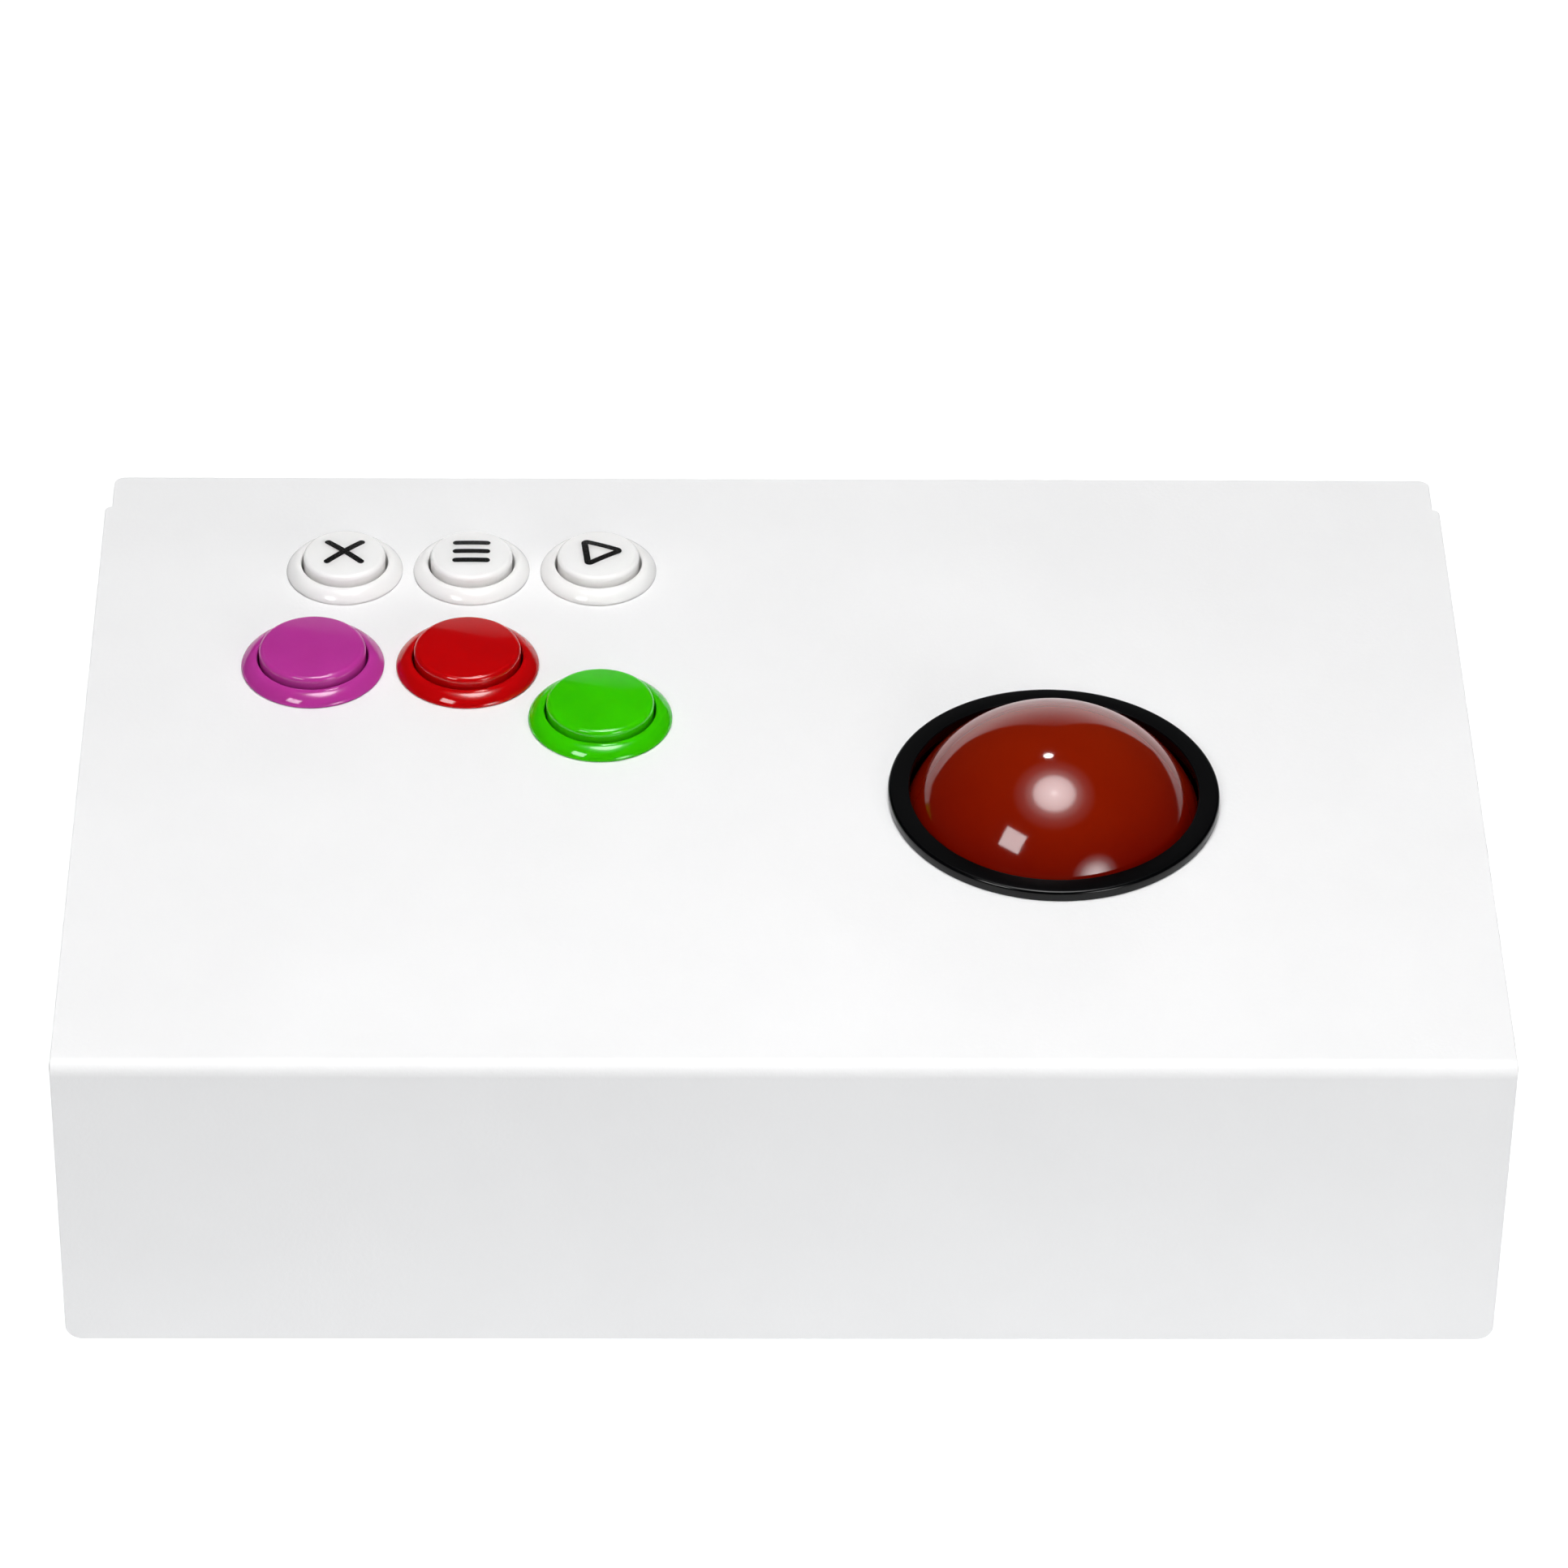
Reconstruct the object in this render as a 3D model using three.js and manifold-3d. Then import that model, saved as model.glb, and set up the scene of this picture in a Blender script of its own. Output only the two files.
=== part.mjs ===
// Arcade control box: a folded white sheet-metal case with a trackball on the right and six
// snap-in push buttons on the left. Millimetres, +Z up, -Y is the front. The origin lies on the
// surface that the box stands on, under the middle of its plan.

import * as THREE from 'three';
import { mergeVertices } from 'three/addons/utils/BufferGeometryUtils.js';
import Module from 'manifold-3d';

const wasm = await Module();
wasm.setup();

// ---------------------------------------------------------------- driving dimensions

// Case
const BOX_WIDTH = 320;
const TOP_DEPTH = 207.3;          // front face to the rear wall
const TONGUE_LENGTH = 12;         // lip of the top that runs on past the rear wall
const TONGUE_INSET = 1.6;         // the lip and the walls lie this far inside the top's sides
const FLAP_BOTTOM = 3;            // height of the front flap's lower edge
const PANEL_TOP = 83;
const SHEET = 1.5;
const FRONT_BEND = 3.4;           // outer radius of the fold between the top and the front flap
const WALL_BEND = 2.2;            // outer radius of the walls' bottom fold
const FLAP_CORNER = 3.8;
const TONGUE_CORNER = 2.5;
const SHOULDER_CORNER = 1.5;
const FLANGE = 16;                // inward flange along the foot of each wall
const BASE_BOTTOM = 5;

// Gaps between separate pieces
const SEAT = 0.1;                 // under a face that rests flat
const GAP = 0.3;

// Sides of the round pieces
const ROUND = 18;
const LARGE_ROUND = 32;

// Feet and their screws
const FOOT_X = 148;
const FOOT_Y = 84;                // either side of the middle of the case
const FOOT_RADIUS = 9;

// Buttons: x from the middle of the box, y from the front face
const TRAVEL = 3;
const LARGE_BUTTON = { hole: 15, bezel: 16.65, bore: 12.9, plunger: 12.45, edge: 1.3, rim: 5.6, dome: 0.75 };
const SMALL_BUTTON = { hole: 12, bezel: 13.8, bore: 10.25, plunger: 9.7, edge: 1.1, rim: 5.3, dome: 0.45 };
const BUTTONS = [
  { name: 'purple_button', x: -108, y: 144.3, type: LARGE_BUTTON, colour: 0xb23595 },
  { name: 'red_button', x: -72, y: 144.3, type: LARGE_BUTTON, colour: 0xb90005 },
  { name: 'green_button', x: -41, y: 124.3, type: LARGE_BUTTON, colour: 0x3ac400 },
  { name: 'cancel_button', x: -101.8, y: 181.3, type: SMALL_BUTTON, colour: 0xf6f0ee },
  { name: 'menu_button', x: -71.8, y: 181.3, type: SMALL_BUTTON, colour: 0xf6f0ee },
  { name: 'play_button', x: -41.8, y: 181.3, type: SMALL_BUTTON, colour: 0xf6f0ee },
];
const BODY_DEPTH = 17;            // of a button's housing below the panel's top face
const SWITCH = { length: 20, width: 6.4, height: 11 };
const STEM_RADIUS = 1.5;

// Trackball
const BALL_RADIUS = 36.2;
const BALL_X = 62.5;
const BALL_FROM_FRONT = 95.2;
const BALL_DROP = 17;             // ball's centre below the panel's top face
const RING_RADIUS = 37.8;
const RING_OPENING = 32.9;
const RING_HEIGHT = 2.55;
const BALL_HOLE = 36.35;
const COLLAR_DEPTH = 4;
const COLLAR_RADIUS = 35.9;
const ROLLER_RADIUS = 5.3;
const SHAFT_RADIUS = 3;
const ROLLER_ANGLE = THREE.MathUtils.degToRad(40);   // rollers touch this far below the equator
const BEARING = { radius: 6, width: 4 };
const WHEEL_RADIUS = 10.5;
const UNIT_HALF = 46;             // half the width of the trackball's housing
const UNIT_WALL = 2.5;
const UNIT_CORNER = 10;
const UNIT_FLANGE = 54;           // half the width of the housing's mounting flange
const STUD = 48.5;                // mounting studs, either side of the ball's centre
const BOSS = 38;                  // the housing's own screws, either side of the ball's centre

// Electronics
const BOARD = { x: -72, y: 69, width: 84, depth: 50, thickness: 1.6, bottom: 12.5 };
const SOCKET = { width: 12, height: 10.8, depth: 16, cavity: 8.6, cavityHeight: 7.8, cavityDepth: 9 };

// ---------------------------------------------------------------- derived places

const FRONT = -(TOP_DEPTH + TONGUE_LENGTH) / 2;
const REAR_WALL = FRONT + TOP_DEPTH;
const TONGUE_END = -FRONT;
const CASE_MIDDLE = (FRONT + REAR_WALL) / 2;
const SHEET_UNDER = PANEL_TOP - SHEET;
const WALL_X = BOX_WIDTH / 2 - TONGUE_INSET;
const WALL_FOOT = BASE_BOTTOM + SHEET + SEAT;
const WALL_HEAD = SHEET_UNDER - SEAT;
const INNER_FRONT = FRONT + SHEET + GAP;
const BALL_Y = FRONT + BALL_FROM_FRONT;
const UNDERSIDE = BALL_DROP - SHEET;                 // panel's underside above the ball's centre
const ROLLER_REACH = BALL_RADIUS + ROLLER_RADIUS + GAP;
const ROLLER_OFFSET = ROLLER_REACH * Math.cos(ROLLER_ANGLE);
const ROLLER_DROP = ROLLER_REACH * Math.sin(ROLLER_ANGLE);
const SPLIT = -12;                                   // joint between the housing's two halves
const TRAY_FLOOR = -39.5;
const TRAY_BOTTOM = -42;

// ---------------------------------------------------------------- materials

const finish = (colour, roughness, metalness = 0) =>
  new THREE.MeshStandardMaterial({ color: colour, roughness, metalness });
const powderCoat = finish(0xf0f0f0, 0.55);
const gloss = (colour) => finish(colour, 0.2);
const blackPlastic = finish(0x161718, 0.5);
const steel = finish(0xb8bcc0, 0.3, 1);
const rubber = finish(0x202020, 0.85);
const circuitBoard = finish(0x1d5a38, 0.5);
const wireSleeve = finish(0x2a2a2c, 0.6);

// ---------------------------------------------------------------- solids

// A closed geometry as a solid that can be joined and cut.
function solidOf(geometry) {
  const bare = geometry.clone();
  bare.deleteAttribute('normal');
  bare.deleteAttribute('uv');
  const merged = mergeVertices(bare, 1e-4);
  const corners = merged.index.array;
  const triVerts = [];
  for (let i = 0; i < corners.length; i += 3) {
    const [a, b, c] = [corners[i], corners[i + 1], corners[i + 2]];
    if (a !== b && b !== c && c !== a) triVerts.push(a, b, c);
  }
  const mesh = new wasm.Mesh({
    numProp: 3,
    vertProperties: new Float32Array(merged.attributes.position.array),
    triVerts: new Uint32Array(triVerts),
  });
  return new wasm.Manifold(mesh);
}

function geometryOf(solid) {
  const mesh = solid.getMesh();
  const geometry = new THREE.BufferGeometry();
  geometry.setAttribute('position', new THREE.BufferAttribute(mesh.vertProperties, 3));
  geometry.setIndex(new THREE.BufferAttribute(mesh.triVerts, 1));
  geometry.computeVertexNormals();
  return geometry;
}

function block(x0, x1, y0, y1, z0, z1) {
  const box = new THREE.BoxGeometry(x1 - x0, y1 - y0, z1 - z0);
  return solidOf(box.translate((x0 + x1) / 2, (y0 + y1) / 2, (z0 + z1) / 2));
}

function upright(radius, z0, z1, x = 0, y = 0, sides = 10) {
  const rod = new THREE.CylinderGeometry(radius, radius, z1 - z0, sides).rotateX(Math.PI / 2);
  return solidOf(rod.translate(x, y, (z0 + z1) / 2));
}

// Turns a profile of [radius, height] points about +Z. It starts and ends on the axis, or is
// closed by a copy of its first point. The points run anticlockwise, seen with radius to the right.
function turned(points, sides, onAxis = false) {
  const profile = points.map(([radius, height]) => new THREE.Vector2(radius, height));
  if (!onAxis) profile.push(profile[0].clone());
  return solidOf(new THREE.LatheGeometry(profile, sides).rotateX(Math.PI / 2));
}

// A rectangle with four rounded corners, in the plane of its own x and y.
function roundedRectangle(x0, x1, y0, y1, radius) {
  const shape = new THREE.Shape();
  shape.absarc(x1 - radius, y0 + radius, radius, -Math.PI / 2, 0);
  shape.absarc(x1 - radius, y1 - radius, radius, 0, Math.PI / 2);
  shape.absarc(x0 + radius, y1 - radius, radius, Math.PI / 2, Math.PI);
  shape.absarc(x0 + radius, y0 + radius, radius, Math.PI, 1.5 * Math.PI);
  return shape;
}

function plate(shape, z0, z1, curveSegments = 2) {
  const slab = new THREE.ExtrudeGeometry(shape, { depth: z1 - z0, bevelEnabled: false, curveSegments });
  return solidOf(slab.translate(0, 0, z0));
}

// Extrudes a shape drawn in (y, z) along X.
function alongX(shape, x0, x1) {
  const bar = new THREE.ExtrudeGeometry(shape, { depth: x1 - x0, bevelEnabled: false, curveSegments: 3 });
  const turn = new THREE.Matrix4().makeBasis(
    new THREE.Vector3(0, 1, 0), new THREE.Vector3(0, 0, 1), new THREE.Vector3(1, 0, 0));
  return solidOf(bar.applyMatrix4(turn).translate(x0, 0, 0));
}

// Extrudes a shape drawn in (x, z) along Y.
function alongY(shape, y0, y1) {
  const bar = new THREE.ExtrudeGeometry(shape, { depth: y1 - y0, bevelEnabled: false, curveSegments: 2 });
  return solidOf(bar.rotateX(Math.PI / 2).translate(0, y1, 0));
}

// A round tube through a list of points, with its ends closed.
function tube(points, radius, steps, sides) {
  const path = new THREE.CatmullRomCurve3(points.map((point) => new THREE.Vector3(...point)));
  const section = new THREE.Shape();
  for (let i = 0; i < sides; i += 1) {
    const angle = (2 * Math.PI * i) / sides;
    const [x, y] = [radius * Math.cos(angle), radius * Math.sin(angle)];
    if (i === 0) section.moveTo(x, y);
    else section.lineTo(x, y);
  }
  return solidOf(new THREE.ExtrudeGeometry(section, { extrudePath: path, steps }));
}

// ---------------------------------------------------------------- scene helpers

const panel = new THREE.Group();

function place(parent, name, solid, material, position = [0, 0, 0]) {
  const mesh = new THREE.Mesh(geometryOf(solid), material.clone());
  mesh.name = name;
  mesh.position.set(...position);
  parent.add(mesh);
  return mesh;
}

function groupAt(parent, x, y, z) {
  const group = new THREE.Group();
  group.position.set(x, y, z);
  parent.add(group);
  return group;
}

const CORNERS = [
  [-1, -1, 'front_left'],
  [1, -1, 'front_right'],
  [-1, 1, 'rear_left'],
  [1, 1, 'rear_right'],
];

// ---------------------------------------------------------------- case

// One folded sheet: the top with its rear lip, and the front flap.
function topCover() {
  const profile = new THREE.Shape();
  const inner = FRONT_BEND - SHEET;
  profile.moveTo(FRONT, FLAP_BOTTOM);
  profile.lineTo(FRONT + SHEET, FLAP_BOTTOM);
  profile.lineTo(FRONT + SHEET, PANEL_TOP - FRONT_BEND);
  profile.absarc(FRONT + FRONT_BEND, PANEL_TOP - FRONT_BEND, inner, Math.PI, Math.PI / 2, true);
  profile.lineTo(TONGUE_END, SHEET_UNDER);
  profile.lineTo(TONGUE_END, PANEL_TOP);
  profile.absarc(FRONT + FRONT_BEND, PANEL_TOP - FRONT_BEND, FRONT_BEND, Math.PI / 2, Math.PI);
  const half = BOX_WIDTH / 2;
  const over = 5;
  const body = roundedRectangle(-half, half, FRONT - over, REAR_WALL, SHOULDER_CORNER);
  const lip = roundedRectangle(-WALL_X, WALL_X, CASE_MIDDLE, TONGUE_END, TONGUE_CORNER);
  const plan = plate(body, 0, PANEL_TOP + over).add(plate(lip, 0, PANEL_TOP + over));
  const frontOutline = roundedRectangle(-half, half, FLAP_BOTTOM, PANEL_TOP + 2 * FLAP_CORNER, FLAP_CORNER);
  let cover = alongX(profile, -half, half).intersect(plan);
  cover = cover.intersect(alongY(frontOutline, FRONT - over, TONGUE_END + over));
  for (const button of BUTTONS) {
    const y = FRONT + button.y;
    cover = cover.subtract(upright(button.type.hole, SHEET_UNDER - 1, PANEL_TOP + 1, button.x, y, ROUND));
  }
  cover = cover.subtract(upright(BALL_HOLE, SHEET_UNDER - 1, PANEL_TOP + 1, BALL_X, BALL_Y, LARGE_ROUND));
  for (const [sx, sy] of CORNERS) {
    const stud = upright(2, SHEET_UNDER - 11, SHEET_UNDER + 0.5, BALL_X + sx * STUD, BALL_Y + sy * STUD, 8);
    cover = cover.add(stud);
  }
  return cover;
}

// An upright sheet with a folded foot that runs inwards, drawn for a wall at the right-hand side.
function foldedProfile(face) {
  const shape = new THREE.Shape();
  shape.moveTo(face - FLANGE, WALL_FOOT);
  shape.absarc(face - WALL_BEND, WALL_FOOT + WALL_BEND, WALL_BEND, -Math.PI / 2, 0);
  shape.lineTo(face, WALL_HEAD);
  shape.lineTo(face - SHEET, WALL_HEAD);
  shape.absarc(face - WALL_BEND, WALL_FOOT + WALL_BEND, WALL_BEND - SHEET, 0, -Math.PI / 2, true);
  shape.lineTo(face - FLANGE, WALL_FOOT + SHEET);
  return shape;
}

// A side wall. Its upper front corner is rounded to clear the inside of the top's fold, and its
// flange carries a pressed-in nut over each foot.
function sideWall(side) {
  const [y0, y1] = [INNER_FRONT, REAR_WALL];
  const flangeEnd = 8;
  const outline = new THREE.Shape();
  outline.moveTo(y0, WALL_FOOT + WALL_BEND);
  outline.lineTo(y1, WALL_FOOT + WALL_BEND);
  outline.lineTo(y1, WALL_HEAD);
  outline.absarc(y0 + FRONT_BEND, WALL_HEAD - FRONT_BEND, FRONT_BEND, Math.PI / 2, Math.PI);
  let wall = alongY(foldedProfile(WALL_X), y0 + flangeEnd, y1 - flangeEnd);
  wall = wall.intersect(block(0, WALL_X + 1, y0, y1, 0, WALL_HEAD - FRONT_BEND));
  wall = wall.add(alongX(outline, WALL_X - SHEET, WALL_X));
  for (const sy of [-1, 1]) {
    const y = CASE_MIDDLE + sy * FOOT_Y;
    wall = wall.add(upright(3.6, WALL_FOOT + SHEET / 2, WALL_FOOT + 6, FOOT_X, y));
    wall = wall.subtract(upright(2.35, WALL_FOOT - 1, WALL_FOOT + 7, FOOT_X, y));
  }
  return side > 0 ? wall : wall.mirror([1, 0, 0]);
}

// The rear wall stands between the side walls. It is cut out for the cable socket.
function rearWall() {
  const half = WALL_X - SHEET - GAP;
  const flangeHalf = WALL_X - FLANGE - 1;
  const z0 = BOARD.bottom + BOARD.thickness - GAP;
  const socketHalf = SOCKET.width / 2 + GAP;
  const sheet = block(-half, half, REAR_WALL - SHEET, REAR_WALL, WALL_FOOT + WALL_BEND, WALL_HEAD);
  const wall = sheet.add(alongX(foldedProfile(REAR_WALL), -flangeHalf, flangeHalf));
  const z1 = z0 + SOCKET.height + 2 * GAP;
  const [x0, x1] = [BOARD.x - socketHalf, BOARD.x + socketHalf];
  return wall.subtract(block(x0, x1, REAR_WALL - 2, REAR_WALL + 1, z0, z1));
}

// The removable bottom, with a pressed-in standoff under each corner of the controller board.
function basePlate() {
  const outline = roundedRectangle(-WALL_X, WALL_X, INNER_FRONT, REAR_WALL, 2);
  let base = plate(outline, BASE_BOTTOM, BASE_BOTTOM + SHEET, 1);
  for (const [sx, sy] of CORNERS) {
    const footY = CASE_MIDDLE + sy * FOOT_Y;
    base = base.subtract(upright(2.4, BASE_BOTTOM - 1, BASE_BOTTOM + 3, sx * FOOT_X, footY));
    const x = BOARD.x + sx * (BOARD.width / 2 - 5);
    const y = boardHoleY(sy);
    base = base.add(upright(3, BASE_BOTTOM + SHEET / 2, BOARD.bottom - SEAT, x, y));
    base = base.subtract(upright(1.3, BASE_BOTTOM + SHEET, BOARD.bottom + 1, x, y, 8));
  }
  return base;
}

function boardHoleY(side) {
  return BOARD.y - 5 + side * 14;
}

function foot() {
  const top = BASE_BOTTOM - SEAT;
  const profile = [[2.4, 2.9], [4.3, 2.9], [4.3, 0], [FOOT_RADIUS - 1, 0], [FOOT_RADIUS - 0.2, 0.8],
    [FOOT_RADIUS, top], [2.4, top]];
  return turned(profile, 14);
}

function footScrew() {
  const profile = [[0, 0.6], [3, 0.6], [3.7, 1.2], [3.7, 2.8], [2, 2.8], [2, 12], [0, 12]];
  return turned(profile, 10, true);
}

place(panel, 'top_cover', topCover(), powderCoat);
place(panel, 'left_side_wall', sideWall(-1), powderCoat);
place(panel, 'right_side_wall', sideWall(1), powderCoat);
place(panel, 'rear_wall', rearWall(), powderCoat);
place(panel, 'base_plate', basePlate(), powderCoat);
for (const [sx, sy, where] of CORNERS) {
  const corner = groupAt(panel, sx * FOOT_X, CASE_MIDDLE + sy * FOOT_Y, 0);
  place(corner, `${where}_foot`, foot(), rubber);
  place(corner, `${where}_foot_screw`, footScrew(), steel);
}

// ---------------------------------------------------------------- push buttons

// Bezel and body in one moulding, with two snap tabs under the panel and two cheeks that hold
// the switch. Heights are measured from the panel's top face.
function buttonHousing(type) {
  const body = type.hole - 0.4;
  const profile = [[2.6, -15], [2.6, -BODY_DEPTH], [body, -BODY_DEPTH], [body, SEAT], [type.bezel, SEAT],
    [type.bezel - 0.1, 0.4], [type.bezel - 0.45, 1.15], [type.bezel - 1.9, 2.55], [type.bore + 0.5, 3],
    [type.bore, 2.6], [type.bore, -15]];
  let housing = turned(profile, ROUND);
  const tabTop = -SHEET - GAP;
  for (const side of [-1, 1]) {
    const [x0, x1] = [side * (body - 1), side * (type.hole + 0.9)].sort((a, b) => a - b);
    housing = housing.add(block(x0, x1, -3, 3, tabTop - 4.5, tabTop));
    const cheek = side * (SWITCH.width / 2 + GAP);
    const [y0, y1] = [cheek, cheek + side * 1.6].sort((a, b) => a - b);
    housing = housing.add(block(-7, 7, y0, y1, -BODY_DEPTH - 8, -BODY_DEPTH + 0.5));
  }
  return housing;
}

// A hollow domed cap with a centre stem that reaches into the switch.
function buttonPlunger(type) {
  const { plunger: r, edge, rim, dome } = type;
  const skirt = r - 1.2;
  const profile = [[0, -16.8], [STEM_RADIUS, -16.8], [STEM_RADIUS, 3.2], [skirt, 3.2], [skirt, -8], [r, -8],
    [r, rim - edge], [r - 0.3 * edge, rim - 0.3 * edge], [r - edge, rim], [r * 0.6, rim + dome * 0.6],
    [0, rim + dome]];
  return turned(profile, ROUND, true);
}

// A snap-action switch with a well for the stem and two spade terminals.
function buttonSwitch() {
  const top = -BODY_DEPTH - SEAT;
  const bottom = top - SWITCH.height;
  const [halfLength, halfWidth] = [SWITCH.length / 2, SWITCH.width / 2];
  const well = STEM_RADIUS + GAP;
  let body = block(-halfLength, halfLength, -halfWidth, halfWidth, bottom, top);
  body = body.subtract(block(-well, well, -well, well, top - TRAVEL - 1.5, top + 1));
  for (const x of [-halfLength + 3.5, halfLength - 3.5]) {
    body = body.add(block(x - 1.4, x + 1.4, -0.3, 0.3, bottom - 6.5, bottom + 1));
  }
  return body;
}

for (const { name, x, y, type, colour } of BUTTONS) {
  const button = groupAt(panel, x, FRONT + y, PANEL_TOP);
  place(button, `${name}_housing`, buttonHousing(type), gloss(colour));
  place(button, `${name}_plunger`, buttonPlunger(type), gloss(colour));
  place(button, `${name}_switch`, buttonSwitch(), blackPlastic);
}

// ---------------------------------------------------------------- trackball

const trackball = groupAt(panel, BALL_X, BALL_Y, PANEL_TOP - BALL_DROP);

// The retaining ring: a flange on the panel and a collar with three snap lugs under it.
function retainingRing() {
  const profile = [[RING_OPENING + 0.3, RING_HEIGHT], [RING_OPENING, RING_HEIGHT - 0.4], [33.4, -0.5],
    [34.6, -COLLAR_DEPTH], [COLLAR_RADIUS, -COLLAR_DEPTH], [COLLAR_RADIUS, SEAT], [RING_RADIUS, SEAT],
    [RING_RADIUS, 1.5], [RING_RADIUS - 0.25, 2.2], [RING_RADIUS - 0.8, RING_HEIGHT]];
  let ring = turned(profile, LARGE_ROUND);
  const lugAngle = THREE.MathUtils.degToRad(12);
  for (let i = 0; i < 3; i += 1) {
    const middle = Math.PI / 2 + (i * 2 * Math.PI) / 3;
    const lug = new THREE.Shape();
    lug.absarc(0, 0, 37, middle - lugAngle, middle + lugAngle);
    lug.absarc(0, 0, 35.4, middle + lugAngle, middle - lugAngle, true);
    ring = ring.add(plate(lug, -COLLAR_DEPTH, -SHEET - GAP, 1));
  }
  return ring;
}

function squareShell(half, radius, z0, z1) {
  return plate(roundedRectangle(-half, half, -half, half, radius), z0, z1);
}

// The housing's upper half: a mounting flange round the ball's bore, and a square skirt.
function housingShell() {
  const flangeTop = UNDERSIDE - SEAT;
  const flangeBottom = flangeTop - 4.2;
  const inside = UNIT_HALF - UNIT_WALL;
  let shell = squareShell(UNIT_HALF, UNIT_CORNER, SPLIT, flangeTop);
  shell = shell.subtract(squareShell(inside, UNIT_CORNER - UNIT_WALL, SPLIT - 1, flangeBottom));
  shell = shell.add(squareShell(UNIT_FLANGE, 8, flangeBottom, flangeTop));
  shell = shell.subtract(upright(BALL_HOLE + 1.25, SPLIT - 1, flangeTop + 1, 0, 0, LARGE_ROUND));
  for (const [sx, sy] of CORNERS) {
    shell = shell.subtract(upright(2.4, flangeBottom - 1, flangeTop + 1, sx * STUD, sy * STUD));
    shell = shell.add(upright(3.5, SPLIT, flangeBottom + 1, sx * BOSS, sy * BOSS));
    shell = shell.subtract(upright(1.8, SPLIT - 1, SPLIT + 8, sx * BOSS, sy * BOSS, 8));
  }
  return shell;
}

// The three ways in which a roller can lie: its azimuth from the ball and its bearings' places,
// measured along the shaft from the point that the ball touches.
const LONG_BEARINGS = [-21.5, 22];
const IDLER_BEARINGS = [-12, 8];
const ROLLERS = [
  { name: 'x_roller', azimuth: Math.PI, along: -Math.PI / 2, bearings: LONG_BEARINGS },
  { name: 'y_roller', azimuth: Math.PI / 2, along: 0, bearings: LONG_BEARINGS },
  { name: 'idler_roller', azimuth: -Math.PI / 4, along: Math.PI / 4, bearings: IDLER_BEARINGS },
];

// A cradle for one bearing, drawn with the shaft along +X and moved to the roller's place.
function cradle(roller, start, cut) {
  const half = 8.2;
  const top = -ROLLER_DROP - 0.4;
  const end = start + BEARING.width;
  let piece = block(start, end, -half, half, TRAY_FLOOR - 1, top);
  if (cut) {
    const radius = BEARING.radius + GAP;
    const bore = new THREE.CylinderGeometry(radius, radius, BEARING.width + 2 * GAP, 16);
    piece = solidOf(bore.rotateZ(Math.PI / 2).translate((start + end) / 2, 0, -ROLLER_DROP));
  }
  const turn = THREE.MathUtils.radToDeg(roller.along);
  const x = ROLLER_OFFSET * Math.cos(roller.azimuth);
  const y = ROLLER_OFFSET * Math.sin(roller.azimuth);
  return piece.rotate([0, 0, turn]).translate([x, y, 0]);
}

// A box in the frame of one sensor: u points from the ball to the roller, v along its shaft to
// the encoder wheel.
function sensorBlock(roller, u0, u1, v0, v1, z0, z1) {
  const u = [Math.round(Math.cos(roller.azimuth)), Math.round(Math.sin(roller.azimuth))];
  const v = [Math.round(Math.cos(roller.along)), Math.round(Math.sin(roller.along))];
  const xs = [u0 * u[0] + v0 * v[0], u1 * u[0] + v1 * v[0]].sort((a, b) => a - b);
  const ys = [u0 * u[1] + v0 * v[1], u1 * u[1] + v1 * v[1]].sort((a, b) => a - b);
  return block(xs[0], xs[1], ys[0], ys[1], z0, z1);
}

// The housing's lower half: a tray with a cradle for each bearing.
function housingTray() {
  const inside = UNIT_HALF - UNIT_WALL;
  let tray = squareShell(UNIT_HALF, UNIT_CORNER, TRAY_BOTTOM, SPLIT - GAP);
  tray = tray.subtract(squareShell(inside, UNIT_CORNER - UNIT_WALL, TRAY_FLOOR, SPLIT + 1));
  for (const roller of ROLLERS) {
    for (const start of roller.bearings) {
      tray = tray.add(cradle(roller, start, false));
      tray = tray.subtract(cradle(roller, start, true));
    }
  }
  for (const roller of ROLLERS.slice(0, 2)) {
    tray = tray.subtract(sensorBlock(roller, 11.9, 14.3, 27.6, 42.4, TRAY_BOTTOM - 1, TRAY_FLOOR + 1));
  }
  for (const [sx, sy] of CORNERS) {
    tray = tray.add(upright(3.5, TRAY_FLOOR - 1, SPLIT - GAP, sx * BOSS, sy * BOSS));
    tray = tray.subtract(upright(1.8, TRAY_BOTTOM - 1, SPLIT + 1, sx * BOSS, sy * BOSS, 8));
  }
  return tray.subtract(upright(5, TRAY_BOTTOM - 1, TRAY_FLOOR + 1));
}

function longRoller() {
  const profile = [[0, -22.5], [SHAFT_RADIUS, -22.5], [SHAFT_RADIUS, -15], [ROLLER_RADIUS, -15],
    [ROLLER_RADIUS, 20], [SHAFT_RADIUS, 20], [SHAFT_RADIUS, 34], [0, 34]];
  return turned(profile, 12, true);
}

function idlerRoller() {
  const profile = [[0, -13], [SHAFT_RADIUS, -13], [SHAFT_RADIUS, -6], [ROLLER_RADIUS, -6],
    [ROLLER_RADIUS, 6], [SHAFT_RADIUS, 6], [SHAFT_RADIUS, 13], [0, 13]];
  return turned(profile, 12, true);
}

function bearing() {
  const bore = SHAFT_RADIUS + 0.2;
  const profile = [[bore, 0], [BEARING.radius, 0], [BEARING.radius, BEARING.width], [bore, BEARING.width]];
  return turned(profile, 12);
}

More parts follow.
